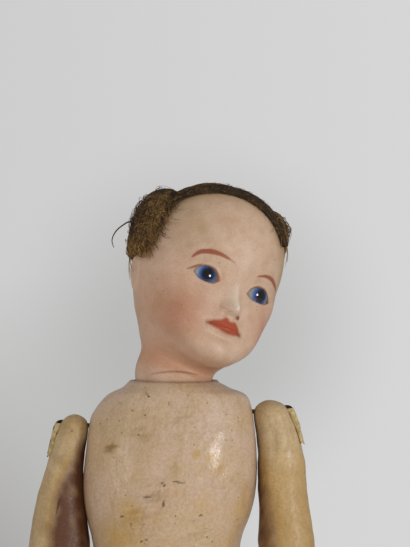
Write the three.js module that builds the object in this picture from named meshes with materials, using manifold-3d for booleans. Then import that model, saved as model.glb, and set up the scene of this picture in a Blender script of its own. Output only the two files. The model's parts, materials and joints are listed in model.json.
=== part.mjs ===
// A strung doll: bisque socket head with set glass eyes on a papier-mache body.
// Millimetres, +Z up. The doll faces -Y and its own left side is +X.

import * as THREE from "three";
import { mergeVertices } from "three/addons/utils/BufferGeometryUtils.js";
import Module from "manifold-3d";

// Clearances
const GAP = 0.3;
const BIG = 400;

// Neck joint: a ball at the foot of the head in a cup in the torso
const NECK_X = 1.4;
const NECK_Z = 205.8;
const NECK_BALL = 14;
const NECK_HOLE = 5;
const WASHER = 0.7;
const WASHER_TOP = 115;
const WASHER_BOTTOM = 133;
const CUP_WALL = 2.6;
const CUP_HOLE = 9.2;
const BUTTON_SPREAD = 60;

// Pose of the head as it is photographed, in degrees
const HEAD_NOD = -7;
const HEAD_TILT = 19;
const HEAD_TURN = 28.5;

// Head
const HEAD_WALL = 2.8;
const CROWN_Z = 66;
const CROWN_SLOPE = 14;
const PATE_WALL = 2;
const EYE_RADIUS = 6.2;
const EYE_X = 10.2;
const EYE_Y = 13.4;
const EYE_Z = 35.1;
const EYE_SPLAY = 8;
const EYE_OPENING_WIDTH = 9.4;
const EYE_OPENING_HEIGHT = 6.4;
const PLASTER_WIDTH = 30;
const PLASTER_DEPTH = 9;
const PLASTER_HEIGHT = 13;

// Remains of the wig
const WIG_THICKNESS = 1.6;
const WIG_LIFT = 0.5;
const WIG_EDGE_Y = -14.6;
const WIG_EDGE_Z = 66.7;
const WIG_EDGE_LEAN = 20.8;
const WIG_EDGE_SKEW = 24;
const WIG_NAPE_Y = 30;
const WIG_NAPE_Z = 30;
const WIG_NAPE_SLOPE = 34;
const BAND_WIDTH = 4;
const BAND_THICKNESS = 2.4;
const BAND_END_Z = 56;
const TUFT_LIFT = 3.4;
const RIGHT_TUFT = { x: -24, y: 3, z: 51, width: 20, depth: 20, height: 30 };
const LEFT_TUFT = { x: 17, y: -10, z: 63, width: 12, depth: 14, height: 14 };

// Torso
const TORSO_WALL = 3;
const RIM_WALL = 1.5;
const RIM_DROP = 2;
const SHOULDER_LEAN = 7;
const SHOULDER_FLAT = 0.5;
const SHOULDER_HOLE = 2.6;
const HIP_X = 16;
const HIP_Z = 110;
const HIP_LEAN = 30;
const HIP_HOLE = 4.2;

// Arms, wires and paper strips
const RIGHT_SHOULDER_Z = 187.3;
const LEFT_SHOULDER_Z = 192.3;
const WIRE_RADIUS = 0.8;
const ARM_SEAT_DROP = 14;
const ARM_WIRE_DROP = 12;
const ARM_WIRE_REACH = 12;
const ARM_WIRE_BACK = 7.6;
const ARM_WIRE_DIP = 5.4;
const WIRE_BEND = 1.6;
const STRIP_THICKNESS = 0.7;
const STRIP_WIDTH = 4.6;
const STRIP_TOP = -0.4;
const STRIP_FOOT = -13;
const STRIP_CURL = 0.9;

// Stringing inside the torso
const CORD_RADIUS = 1;
const NECK_HOOK_DROP = 27;
const NECK_HOOK_WIDTH = 10;
const HOOK_RADIUS = 0.9;
const HOOK_FOOT = 4.6;
const HOOK_BEND = 1.6;
const HOOK_PRONG = 5;
const HOOK_FORK = 8;
const RING_RADIUS = 3;
const RING_REACH = 9;
const STEM_DEPTH = 10;

// Number of faces round a form and from its foot to its top
const FACE_GRID = [36, 28];
const WIG_GRID = [24, 22];
const HOLLOW_GRID = [16, 16];
const TORSO_GRID = [28, 22];
const TORSO_HOLLOW_GRID = [16, 14];
const ARM_GRID = [14, 24];
const LEG_GRID = [14, 28];
const NECK_RINGS = 5;
const FRONT_CROWDING = 0.35;
const WIRE_STEPS = 28;
const CORD_STEPS = 30;

// Outline of the head from the neck up. Each row gives height and reach
// at the front, at the side and at the back, from the middle of the neck ball.
const HEAD_LEVELS = [
  [0, NECK_BALL, 0, NECK_BALL, 0, NECK_BALL],
  [2.6, 13.3, 5, 13.9, 6, 15.4],
  [4.6, 16, 9, 16, 12, 18.2],
  [5.8, 22, 13, 18, 18, 21.8],
  [10, 27.2, 18, 21.2, 24, 24.2],
  [20, 26.4, 26, 24.8, 31, 29.2],
  [27.5, 25.2, 33, 26.4, 37, 32.8],
  [36, 23.6, 40, 26, 42.5, 33.5],
  [44, 24.4, 46.5, 25.6, 47, 32.3],
  [53, 23.6, 53.5, 24, 51, 30.5],
  [61.5, 19.8, 60, 20.6, 55, 28],
  [67.2, 13.4, 65.3, 15.5, 60, 23.5],
  [70.4, 5.5, 69.3, 8.8, 65.5, 15.5],
  [71, -5, 71, 0, 71, 5],
];

// Modelling of the face: height, distance from the middle line, height up the
// head, and the spread of each swelling or hollow sideways and upwards.
const FACE_RELIEF = [
  { swell: 3.4, x: 0, z: 26.9, across: 2.7, along: 3 },
  { swell: 1.9, x: 0, z: 33, across: 2.6, along: 5.5 },
  { swell: 1, x: 2.9, z: 25.8, across: 1.8, along: 1.8 },
  { swell: -1, x: 11.4, z: EYE_Z, across: 6, along: 4.6 },
  { swell: 0.8, x: 11.5, z: 42.5, across: 7, along: 3 },
  { swell: 2.6, x: 16, z: 20, across: 7, along: 9 },
  { swell: 1.3, x: 0, z: 20.6, across: 5, along: 3.2 },
  { swell: 0.8, x: 0, z: 22.3, across: 3.6, along: 1.1 },
  { swell: 0.9, x: 0, z: 18.9, across: 3.2, along: 1.2 },
  { swell: -0.9, x: 0, z: 15.9, across: 4.5, along: 1.6 },
  { swell: 1.3, x: 0, z: 10.8, across: 5.5, along: 4 },
];

// Outline of the torso from the crotch up: height, half width, front, back
// and sideways shift of the middle.
const CUP_RADIUS = NECK_BALL + WASHER + 2 * GAP;
const RIM_RADIUS = CUP_RADIUS + RIM_WALL;
const TORSO_LEVELS = [
  level(93.5, 0, 0, 0, 0),
  level(94.5, 13, 11, 12, 0),
  level(99, 24, 19, 20, 0),
  level(108, 29, 23, 24, 0),
  level(120, 29.5, 25.5, 23, 0),
  level(132, 27.6, 25, 20, -0.3),
  level(144, 27.2, 23.5, 19, -0.6),
  level(158, 30.3, 23.8, 20, -0.3),
  level(170, 31.4, 24.2, 20.8, 0),
  level(181, 30.9, 23.2, 20.8, 0.4),
  level(190, 29.8, 21.5, 20.2, 1),
  level(198, 25.4, 19.4, 19, 2.4),
  level(201.4, 20.4, 18, 17.6, 2.4),
  level(NECK_Z - RIM_DROP, RIM_RADIUS, RIM_RADIUS, RIM_RADIUS, NECK_X),
];

// Outline of an arm from the hand up to the shoulder, measured from the
// shoulder's axis: height, half width, front, back and distance of the middle
// from the flat inner face.
const ARM_LEVELS = [
  level(-98.5, 0, 6, -6, 5.4),
  level(-97.5, 2.4, 8.8, -2.6, 5.4),
  level(-91, 4, 12, 1.8, 5.4),
  level(-84, 4.8, 11.4, 2.4, 5.4),
  level(-78.5, 5.4, 8.6, 3, 5.4),
  level(-66, 8.6, 9.8, 5.4, 5.2),
  level(-54, 10.8, 9.8, 8.2, 5.2),
  level(-44, 11, 9.6, 9.6, 5.4),
  level(-32, 9.3, 9.2, 9.2, 6.7),
  level(-20, 7.7, 8.9, 8.6, 7.9),
  level(-10, 6.9, 8.4, 8.2, 7.3),
  level(-3, 6.6, 7.9, 7.7, 6.2),
  level(1.6, 5.6, 6, 6, 5.8),
  level(3.4, 3.4, 3.6, 3.6, 5.6),
  level(4, 0, 0, 0, 5.6),
];

// Outline of a leg from the sole up: height, half width, front, back and
// distance of the middle from the doll's own middle.
const LEG_LEVELS = [
  level(0, 8.8, 23, 12, 16),
  level(2.4, 9.5, 24.6, 13, 16),
  level(6, 9.4, 24, 12.6, 16),
  level(10, 8.6, 19, 11.4, 16),
  level(14, 7.9, 12.4, 10.4, 16),
  level(19, 7.6, 8.6, 9.4, 16),
  level(28, 8.8, 9, 10.4, 16),
  level(40, 10.2, 10.2, 11.8, 16),
  level(52, 9.8, 10.4, 10.2, 16),
  level(60, 10.2, 11.4, 10, 16),
  level(70, 11.6, 11.8, 11.6, 16.2),
  level(84, 13, 13.6, 13.6, 16.8),
  level(98, 13.8, 15, 15, 17.6),
  level(112, 13.6, 15.4, 16, 18.6),
  level(124, 11, 13, 13.4, 20.6),
  level(131, 6, 7.6, 7.8, 22),
  level(134, 0, 0, 0, 23),
];

// Colours read from the photograph
const bisque = material("#c9a78e", 0.55);
const eyeGlass = material("#485984", 0.08);
const plaster = material("#d8d2c6", 0.9);
const cork = material("#a9825a", 0.95);
const wigCloth = material("#4a3a28", 0.95);
const hair = material("#3a2a18", 0.9);
const wood = material("#a98558", 0.7);
const iron = material("#26221f", 0.55, 0.8);
const leather = material("#8a6a4a", 0.8);
const body = material("#bda07f", 0.38);
const limb = material("#b3976b", 0.4);
const paper = material("#9d8555", 0.85);
const elastic = material("#d9d0bd", 0.9);

const wasm = await Module();
wasm.setup();

function material(color, roughness, metalness = 0) {
  return new THREE.MeshStandardMaterial({ color, roughness, metalness });
}

function level(z, side, front, back, middle) {
  return [z, front, z, side, z, back, middle];
}

// The same outline for the right side, where the middle lies the other way
function onSide(rows, side) {
  return rows.map((row) => [...row.slice(0, 6), side * row[6]]);
}

// A smooth value between the rows of an outline. The row past a pole is the
// row before it seen across the pole, so that the end is round.
function between(rows, place) {
  const last = rows.length - 1;
  const index = Math.min(Math.floor(place), last - 1);
  const u = place - index;
  const rowAt = (i) => {
    if (i < 0) return beyond(rows[0], rows[1]);
    if (i > last) return beyond(rows[last], rows[last - 1]);
    return rows[i];
  };
  const [a, b, c, d] = [index - 1, index, index + 1, index + 2].map(rowAt);
  return b.map((value, k) => {
    const out = (c[k] - a[k]) / 2;
    const into = (d[k] - value) / 2;
    const step = c[k] - value;
    return value + u * (out + u * (3 * step - 2 * out - into + u * (out + into - 2 * step)));
  });
}

function beyond(end, inner) {
  if (end[3] > 0) return end.map((value, k) => 2 * value - inner[k]);
  const across = [inner[4], -inner[5], inner[2], -inner[3], inner[0], -inner[1]];
  return across.concat(inner.slice(6));
}

// Place on the outline that has a given height at the side
function placeAtHeight(rows, z) {
  let low = 0;
  let high = rows.length - 1;
  for (let i = 0; i < 40; i += 1) {
    const middle = (low + high) / 2;
    if (between(rows, middle)[2] < z) low = middle;
    else high = middle;
  }
  return low;
}

function outerSide(rows, z) {
  const row = between(rows, placeAtHeight(rows, z));
  return row[6] + row[3];
}

// A point of the skin: two half ellipses, front and back, make each section
function skinPoint(rows, place, angle, relief) {
  const [frontZ, front, sideZ, side, backZ, back, middle = 0] = between(rows, place);
  const s = Math.sin(angle);
  const c = Math.cos(angle);
  const reach = c > 0 ? front : back;
  const rise = (c > 0 ? frontZ : backZ) - sideZ;
  const point = new THREE.Vector3(middle + side * s, -reach * c, sideZ + rise * c * c);
  if (relief && c > 0) point.y -= Math.sqrt(c) * relief(point);
  return point;
}

function offsetPoint(rows, place, angle, offset, relief) {
  const point = skinPoint(rows, place, angle, relief);
  if (offset === 0) return point;
  const small = 0.01;
  const around = skinPoint(rows, place, angle + small, relief).sub(point);
  const next = Math.min(place + small, rows.length - 1.001);
  const up = skinPoint(rows, next, angle, relief);
  up.sub(skinPoint(rows, next - 2 * small, angle, relief));
  const normal = around.cross(up).normalize();
  return point.addScaledVector(normal, offset);
}

function faceRelief(point) {
  let sum = 0;
  for (const { swell, x, z, across, along } of FACE_RELIEF) {
    const sideways = (Math.abs(point.x) - x) / across;
    const upwards = (point.z - z) / along;
    sum += swell * Math.exp(-sideways * sideways - upwards * upwards);
  }
  return sum;
}

// A closed skin through rings of points, with a point or a flat cap at each end
function skin(rings) {
  const around = rings[0].length;
  const points = [];
  for (const ring of rings) {
    for (const point of ring) points.push(point.x, point.y, point.z);
  }
  const faces = [];
  for (let i = 0; i + 1 < rings.length; i += 1) {
    for (let j = 0; j < around; j += 1) {
      const a = i * around + j;
      const b = i * around + (j + 1) % around;
      faces.push(a, b, b + around, a, b + around, a + around);
    }
  }
  for (const [ring, turn] of [[0, false], [rings.length - 1, true]]) {
    const centre = new THREE.Vector3();
    rings[ring].forEach((point) => centre.addScaledVector(point, 1 / around));
    const tip = points.length / 3;
    points.push(centre.x, centre.y, centre.z);
    for (let j = 0; j < around; j += 1) {
      const a = ring * around + j;
      const b = ring * around + (j + 1) % around;
      if (turn) faces.push(tip, a, b);
      else faces.push(tip, b, a);
    }
  }
  const geometry = new THREE.BufferGeometry();
  geometry.setAttribute("position", new THREE.Float32BufferAttribute(points, 3));
  geometry.setIndex(faces);
  return solid(geometry);
}

// Angles round a section, closer together at the front
function sectionAngles(count, crowding) {
  return Array.from({ length: count }, (_, j) => {
    const angle = 2 * Math.PI * j / count;
    return angle - crowding * Math.sin(angle);
  });
}

function outlineRings(rows, angles, count, offset, relief) {
  const last = rows.length - 1;
  const rings = [];
  for (let i = 0; i <= count; i += 1) {
    const place = last * i / count;
    const pole = between(rows, place)[3] < 1e-6;
    if (pole) {
      const tip = skinPoint(rows, place, 0, null);
      tip.z += i === 0 ? -offset : offset;
      rings.push(angles.map(() => tip.clone()));
    } else {
      rings.push(angles.map((angle) => offsetPoint(rows, place, angle, offset, relief)));
    }
  }
  return rings;
}

function limbSolid(rows, [around, count], offset = 0) {
  return skin(outlineRings(rows, sectionAngles(around, 0), count, offset, null));
}

// The head's whole form from the underside of the neck ball to the crown
function headSolid(offset, [around, count], relief = null, crowding = 0) {
  const angles = sectionAngles(around, crowding);
  const rings = [];
  for (let i = 0; i < NECK_RINGS; i += 1) {
    const dip = Math.PI / 2 * (1 - i / NECK_RINGS);
    const radius = (NECK_BALL + offset) * Math.cos(dip);
    const z = -(NECK_BALL + offset) * Math.sin(dip);
    rings.push(angles.map((a) => new THREE.Vector3(radius * Math.sin(a), -radius * Math.cos(a), z)));
  }
  const upper = outlineRings(HEAD_LEVELS, angles, count, offset, relief);
  return skin(rings.concat(upper));
}

function solid(geometry) {
  const clean = geometry.clone();
  clean.deleteAttribute("normal");
  clean.deleteAttribute("uv");
  const merged = mergeVertices(clean, 1e-4);
  const index = merged.index.array;
  const faces = [];
  for (let i = 0; i < index.length; i += 3) {
    const [a, b, c] = [index[i], index[i + 1], index[i + 2]];
    if (a !== b && b !== c && a !== c) faces.push(a, b, c);
  }
  return new wasm.Manifold(new wasm.Mesh({
    numProp: 3,
    vertProperties: Float32Array.from(merged.attributes.position.array),
    triVerts: Uint32Array.from(faces),
  }));
}

function mesh(name, shape, look) {
  const { vertProperties, triVerts, numProp } = shape.getMesh();
  const points = [];
  for (let i = 0; i < vertProperties.length; i += numProp) {
    points.push(vertProperties[i], vertProperties[i + 1], vertProperties[i + 2]);
  }
  const geometry = new THREE.BufferGeometry();
  geometry.setAttribute("position", new THREE.Float32BufferAttribute(points, 3));
  geometry.setIndex(Array.from(triVerts));
  geometry.computeVertexNormals();
  const result = new THREE.Mesh(geometry, look);
  result.name = name;
  return result;
}

// Space between two planes square to a direction, measured from a point
function slab(point, direction, near, far) {
  const box = new THREE.BoxGeometry(2 * BIG, 2 * BIG, far - near);
  box.translate(0, 0, (near + far) / 2);
  const up = new THREE.Vector3(0, 0, 1);
  const turn = new THREE.Quaternion().setFromUnitVectors(up, direction.clone().normalize());
  box.applyQuaternion(turn);
  box.translate(point.x, point.y, point.z);
  return solid(box);
}

// A round bar from one distance to another along a direction
function bar(point, direction, radius, near, far, sides = 20) {
  const cylinder = new THREE.CylinderGeometry(radius, radius, far - near, sides);
  cylinder.translate(0, (near + far) / 2, 0);
  const up = new THREE.Vector3(0, 1, 0);
  const turn = new THREE.Quaternion().setFromUnitVectors(up, direction.clone().normalize());
  cylinder.applyQuaternion(turn);
  cylinder.translate(point.x, point.y, point.z);
  return solid(cylinder);
}

function ball(point, radius, sides = 16) {
  const sphere = new THREE.SphereGeometry(radius, sides, sides / 2);
  sphere.rotateX(Math.PI / 2);
  sphere.translate(point.x, point.y, point.z);
  return solid(sphere);
}

function wire(points, radius) {
  const shape = new THREE.Shape();
  shape.absarc(0, 0, radius, 0, 2 * Math.PI);
  const path = new THREE.CatmullRomCurve3(points, false, "centripetal");
  const settings = { steps: WIRE_STEPS, curveSegments: 3, bevelEnabled: false, extrudePath: path };
  return solid(new THREE.ExtrudeGeometry(shape, settings));
}

// An endless cord slung round two wires that run the same way
function cordLoop(top, bottom, wireWay, bend) {
  const down = bottom.clone().sub(top).normalize();
  const aside = down.clone().cross(wireWay).normalize();
  const at = (end, alongBy, asideBy) => {
    return end.clone().addScaledVector(down, alongBy * bend).addScaledVector(aside, asideBy * bend);
  };
  const middle = top.clone().lerp(bottom, 0.5);
  const turn = Math.SQRT1_2;
  const points = [
    at(top, -1, 0), at(top, -turn, turn), at(top, 0, 1), at(middle, 0, 1),
    at(bottom, 0, 1), at(bottom, turn, turn), at(bottom, 1, 0), at(bottom, turn, -turn),
    at(bottom, 0, -1), at(middle, 0, -1), at(top, 0, -1), at(top, -turn, -turn),
  ];
  const path = new THREE.CatmullRomCurve3(points, true, "centripetal");
  return solid(new THREE.TubeGeometry(path, CORD_STEPS, CORD_RADIUS, 6, true));
}

function degrees(angle) {
  return THREE.MathUtils.degToRad(angle);
}

function group(...children) {
  const result = new THREE.Group();
  if (children.length) result.add(...children);
  return result;
}

// Head
const origin = new THREE.Vector3();
const upward = new THREE.Vector3(0, 0, 1);
const headForm = headSolid(0, FACE_GRID, faceRelief, FRONT_CROWDING);
const headHollow = headSolid(-HEAD_WALL, HOLLOW_GRID);
const crownPoint = new THREE.Vector3(0, 0, CROWN_Z);
const crownSlope = degrees(CROWN_SLOPE);
const crownDirection = new THREE.Vector3(0, Math.sin(crownSlope), Math.cos(crownSlope));

function eyePlace(side) {
  const splay = degrees(EYE_SPLAY);
  const centre = new THREE.Vector3(side * EYE_X, -EYE_Y, EYE_Z);
  const direction = new THREE.Vector3(side * Math.sin(splay), -Math.cos(splay), 0);
  return { centre, direction };
}

function eyeOpening(side) {
  const { centre, direction } = eyePlace(side);
  const opening = new THREE.CylinderGeometry(0.5, 0.5, BIG / 8, 24);
  opening.scale(EYE_OPENING_WIDTH, 1, EYE_OPENING_HEIGHT);
  opening.translate(0, BIG / 16, 0);
  opening.rotateX(Math.PI);
  opening.rotateZ(side * degrees(EYE_SPLAY));
  opening.translate(centre.x, centre.y, centre.z);
  const front = slab(centre, direction, 0, BIG);
  return solid(opening).add(ball(centre, EYE_RADIUS + GAP).intersect(front));
}

const headShell = headForm
  .subtract(headHollow)
  .subtract(bar(origin, upward, NECK_HOLE, -NECK_BALL - HEAD_WALL, 0))
  .subtract(slab(crownPoint, crownDirection, 0, BIG))
  .subtract(eyeOpening(1))
  .subtract(eyeOpening(-1));

const crownPate = headSolid(-GAP, WIG_GRID)
  .subtract(headSolid(-GAP - PATE_WALL, WIG_GRID))
  .intersect(slab(crownPoint, crownDirection, GAP, BIG));

const plasterBlock = new THREE.BoxGeometry(PLASTER_WIDTH, PLASTER_DEPTH, PLASTER_HEIGHT);
plasterBlock.translate(0, -EYE_Y + PLASTER_DEPTH / 2, EYE_Z);
const eyePlaster = solid(plasterBlock)
  .intersect(headSolid(-HEAD_WALL - GAP, HOLLOW_GRID))
  .subtract(ball(eyePlace(1).centre, EYE_RADIUS + GAP))
  .subtract(ball(eyePlace(-1).centre, EYE_RADIUS + GAP));

// Wig, shifted round to the doll's right: a cap behind a leaning edge, a matted
// band along that edge and two tufts
const wigLean = degrees(WIG_EDGE_LEAN);
const wigSkew = degrees(WIG_EDGE_SKEW);
const wigEdge = new THREE.Vector3(0, WIG_EDGE_Y, WIG_EDGE_Z);
const wigBack = new THREE.Vector3(0, Math.cos(wigLean), Math.sin(wigLean));
wigBack.applyAxisAngle(upward, -wigSkew);
const wigUnder = headSolid(WIG_LIFT, WIG_GRID);
const wigOver = headSolid(WIG_LIFT + WIG_THICKNESS, WIG_GRID);
const tuftUnder = headSolid(WIG_LIFT + BAND_THICKNESS + GAP, WIG_GRID);
const tuftOver = headSolid(WIG_LIFT + BAND_THICKNESS + TUFT_LIFT, WIG_GRID);

function above(z) {
  return slab(new THREE.Vector3(0, 0, z), upward, 0, BIG);
}

function tuft(place) {
  const lump = new THREE.SphereGeometry(0.5, 16, 12);
  lump.scale(place.width, place.depth, place.height);
  lump.translate(place.x, place.y, place.z);
  return solid(lump).intersect(tuftOver).subtract(tuftUnder);
}

// The cap's lower edge rises from the nape towards the front
const napeSlope = degrees(WIG_NAPE_SLOPE);
const wigNape = new THREE.Vector3(0, WIG_NAPE_Y, WIG_NAPE_Z);
const napeUp = new THREE.Vector3(0, Math.sin(napeSlope), Math.cos(napeSlope));
const wigCap = wigOver
  .subtract(wigUnder)
  .intersect(slab(wigEdge, wigBack, BAND_WIDTH + GAP, BIG))
  .intersect(slab(wigNape, napeUp, 0, BIG));
const wigBand = headSolid(WIG_LIFT + BAND_THICKNESS, WIG_GRID)
  .subtract(wigUnder)
  .intersect(slab(wigEdge, wigBack, 0, BAND_WIDTH))
  .intersect(above(BAND_END_Z));

const head = group(
  mesh("head_shell", headShell, bisque),
  mesh("right_eye", ball(eyePlace(-1).centre, EYE_RADIUS), eyeGlass),
  mesh("left_eye", ball(eyePlace(1).centre, EYE_RADIUS), eyeGlass),
  mesh("eye_plaster", eyePlaster, plaster),
  mesh("crown_pate", crownPate, cork),
  mesh("wig_cap", wigCap, wigCloth),
  mesh("wig_band", wigBand, hair),
  mesh("right_hair_tuft", tuft(RIGHT_TUFT), hair),
  mesh("left_hair_tuft", tuft(LEFT_TUFT), hair),
);
head.rotation.z = degrees(HEAD_TURN);

// Neck fittings
function arcPoint(radius, fromTop) {
  return new THREE.Vector2(radius * Math.sin(fromTop), radius * Math.cos(fromTop));
}

function lathe(profile) {
  const form = new THREE.LatheGeometry(profile.concat(profile[0]), 24);
  form.rotateX(Math.PI / 2);
  return solid(form);
}

function arcPoints(radius, from, to, count) {
  return Array.from({ length: count + 1 }, (_, i) => {
    return arcPoint(radius, from + (to - from) * i / count);
  });
}

const washerInner = NECK_BALL + GAP;
const washerTop = degrees(WASHER_TOP);
const washerBottom = degrees(WASHER_BOTTOM);
const neckWasher = lathe([
  ...arcPoints(washerInner, washerTop, washerBottom, 3),
  ...arcPoints(washerInner + WASHER, washerBottom, washerTop, 3),
]);

const buttonRadius = NECK_BALL - HEAD_WALL - GAP;
const buttonBore = HOOK_RADIUS + GAP;
const buttonBottom = Math.PI - Math.asin(buttonBore / buttonRadius);
const buttonEdge = Math.PI - degrees(BUTTON_SPREAD);
const buttonTop = buttonRadius * Math.cos(buttonEdge);
const neckButton = lathe([
  new THREE.Vector2(buttonBore, buttonTop),
  ...arcPoints(buttonRadius, buttonBottom, buttonEdge, 5),
]);

const hookTop = buttonTop + HOOK_RADIUS + GAP;
const hookHalf = NECK_HOOK_WIDTH / 2;
const hookEnd = -NECK_HOOK_DROP;
const neckHook = wire([
  new THREE.Vector3(HOOK_FOOT, 0, hookTop),
  new THREE.Vector3(HOOK_BEND, 0, hookTop),
  new THREE.Vector3(HOOK_BEND / 8, 0, hookTop - HOOK_BEND / 2),
  new THREE.Vector3(0, 0, hookTop - 1.5 * HOOK_BEND),
  new THREE.Vector3(0, 0, hookEnd + HOOK_FORK),
  new THREE.Vector3(0, -hookHalf, hookEnd + HOOK_PRONG),
  new THREE.Vector3(0, -hookHalf, hookEnd + HOOK_BEND),
  new THREE.Vector3(0, -hookHalf + HOOK_BEND, hookEnd),
  new THREE.Vector3(0, hookHalf - HOOK_BEND, hookEnd),
  new THREE.Vector3(0, hookHalf, hookEnd + HOOK_BEND),
  new THREE.Vector3(0, hookHalf, hookEnd + HOOK_PRONG),
], HOOK_RADIUS);

const neckTilt = group(mesh("neck_button", neckButton, wood), mesh("neck_hook", neckHook, iron), head);
neckTilt.rotation.y = degrees(HEAD_TILT);
const neckNod = group(mesh("neck_washer", neckWasher, leather), neckTilt);
neckNod.rotation.x = degrees(HEAD_NOD);
neckNod.position.set(NECK_X, 0, NECK_Z);
neckNod.updateMatrixWorld(true);

// Shoulders: a flat seat on each side of the torso, square to the arm's axis
function shoulder(side) {
  const z = side > 0 ? LEFT_SHOULDER_Z : RIGHT_SHOULDER_Z;
  const row = between(TORSO_LEVELS, placeAtHeight(TORSO_LEVELS, z));
  const seat = new THREE.Vector3(row[6] + side * (row[3] - SHOULDER_FLAT), 0, z);
  const lean = degrees(SHOULDER_LEAN);
  const axis = new THREE.Vector3(side * Math.cos(lean), 0, Math.sin(lean));
  return { seat, axis };
}

// Hips: a slanting flat on each side of the crotch, square to the leg's axis
function hip(side) {
  const lean = degrees(HIP_LEAN);
  const seat = new THREE.Vector3(side * HIP_X, 0, HIP_Z);
  const axis = new THREE.Vector3(side * Math.cos(lean), 0, -Math.sin(lean));
  return { seat, axis };
}

// Torso
const neckCentre = new THREE.Vector3(NECK_X, 0, NECK_Z);
const torsoForm = limbSolid(TORSO_LEVELS, TORSO_GRID);
let torsoHollow = limbSolid(TORSO_LEVELS, TORSO_HOLLOW_GRID, -TORSO_WALL);
let torsoShell = torsoForm;
for (const side of [-1, 1]) {
  const { seat, axis } = shoulder(side);
  const joint = hip(side);
  torsoHollow = torsoHollow
    .subtract(slab(seat, axis, -TORSO_WALL, BIG))
    .subtract(slab(joint.seat, joint.axis, -TORSO_WALL, BIG));
  torsoShell = torsoShell
    .subtract(slab(seat, axis, 0, BIG))
    .subtract(slab(joint.seat, joint.axis, -GAP / 2, BIG));
}
torsoHollow = torsoHollow.subtract(ball(neckCentre, CUP_RADIUS + CUP_WALL, 20));
torsoShell = torsoShell
  .subtract(torsoHollow)
  .subtract(ball(neckCentre, CUP_RADIUS, 32))
  .subtract(bar(neckCentre, upward, CUP_HOLE, -NECK_HOOK_DROP, 0, 28));
for (const side of [-1, 1]) {
  const { seat, axis } = shoulder(side);
  const joint = hip(side);
  torsoShell = torsoShell
    .subtract(bar(seat, axis, SHOULDER_HOLE, -2 * TORSO_WALL, BIG))
    .subtract(bar(joint.seat, joint.axis, HIP_HOLE, -2 * TORSO_WALL, BIG));
}
const backward = new THREE.Vector3(0, 1, 0);
const torsoFront = torsoShell.subtract(slab(origin, backward, -GAP / 2, BIG));
const torsoBack = torsoShell.subtract(slab(origin, backward, -BIG, GAP / 2));

// Arms, each built from its shoulder's flat inner face outwards
const wireBore = WIRE_RADIUS + 2 * GAP;
const wireLift = WIRE_RADIUS + GAP;

function wireOut(z) {
  return outerSide(ARM_LEVELS, z) + wireLift;
}

function armForm(side) {
  const outward = new THREE.Vector3(side, 0, 0);
  return limbSolid(onSide(ARM_LEVELS, side), ARM_GRID)
    .subtract(slab(origin, outward, -BIG, GAP).intersect(above(-ARM_SEAT_DROP)))
    .subtract(bar(origin, outward, wireBore, 0, BIG, 12));
}

// The wire comes out of the arm's side, turns down and ends under the strip
function armWire(side) {
  const at = (x, y, z) => new THREE.Vector3(side * x, y, z);
  const outside = [1, 2 / 3, 1 / 3].map((share) => {
    return at(wireOut(-share * ARM_WIRE_DROP), 0, -share * ARM_WIRE_DROP);
  });
  return wire([
    ...outside,
    at(wireOut(-WIRE_BEND), 0, -WIRE_BEND),
    at(wireOut(0) - WIRE_BEND / 2, 0, 0),
    at(0, 0, 0),
    at(-ARM_WIRE_REACH + WIRE_BEND, 0, 0),
    at(-ARM_WIRE_REACH, WIRE_BEND, 0),
    at(-ARM_WIRE_REACH, ARM_WIRE_BACK - WIRE_BEND, 0),
    at(-ARM_WIRE_REACH, ARM_WIRE_BACK, -WIRE_BEND),
    at(-ARM_WIRE_REACH, ARM_WIRE_BACK, -ARM_WIRE_DIP),
  ], WIRE_RADIUS);
}

// A strip of pasted paper over the outside of the wire, lifting at its foot
function paperStrip(side) {
  const steps = 6;
  const edge = (lift) => Array.from({ length: steps + 1 }, (_, i) => {
    const share = i / steps;
    const z = STRIP_TOP + (STRIP_FOOT - STRIP_TOP) * share;
    const x = wireOut(z) + wireLift + STRIP_CURL * share * share + lift;
    return new THREE.Vector2(side * x, z);
  });
  const outline = new THREE.Shape([...edge(0), ...edge(STRIP_THICKNESS).reverse()]);
  const strip = new THREE.ExtrudeGeometry(outline, { depth: STRIP_WIDTH, bevelEnabled: false });
  strip.translate(0, 0, -STRIP_WIDTH / 2);
  strip.rotateX(Math.PI / 2);
  return solid(strip);
}

function arm(name, side) {
  const result = group(
    mesh(`${name}_arm`, armForm(side), limb),
    mesh(`${name}_arm_wire`, armWire(side), iron),
    mesh(`${name}_paper_strip`, paperStrip(side), paper),
  );
  result.position.copy(shoulder(side).seat);
  result.rotation.y = -side * degrees(SHOULDER_LEAN);
  return result;
}

// Legs with a wire ring in the top
function ringHook(side) {
  const { seat, axis } = hip(side);
  const ring = new THREE.TorusGeometry(RING_RADIUS, WIRE_RADIUS, 6, 16);
  ring.rotateY(side * degrees(HIP_LEAN));
  const centre = seat.clone().addScaledVector(axis, -RING_REACH);
  ring.translate(centre.x, centre.y, centre.z);
  return solid(ring).add(bar(seat, axis, WIRE_RADIUS, -RING_REACH + RING_RADIUS, STEM_DEPTH, 12));
}

function leg(name, side) {
  const { seat, axis } = hip(side);
  const form = limbSolid(onSide(LEG_LEVELS, side), LEG_GRID)
    .subtract(slab(seat, axis, -BIG, GAP / 2))
    .subtract(bar(seat, axis, WIRE_RADIUS + GAP, -GAP, STEM_DEPTH + GAP, 12));
  return group(
    mesh(`${name}_leg`, form, limb),
    mesh(`${name}_leg_hook`, ringHook(side), iron),
  );
}

// Stringing: one endless cord to each leg and one from arm to arm
const cordBend = CORD_RADIUS + HOOK_RADIUS + 2 * GAP;

function legCord(side) {
  const { seat, axis } = hip(side);
  const top = new THREE.Vector3(0, side * NECK_HOOK_WIDTH / 4, -NECK_HOOK_DROP);
  neckTilt.localToWorld(top);
  const bottom = seat.clone().addScaledVector(axis, -RING_REACH - RING_RADIUS);
  return cordLoop(top, bottom, backward, cordBend);
}

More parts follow.
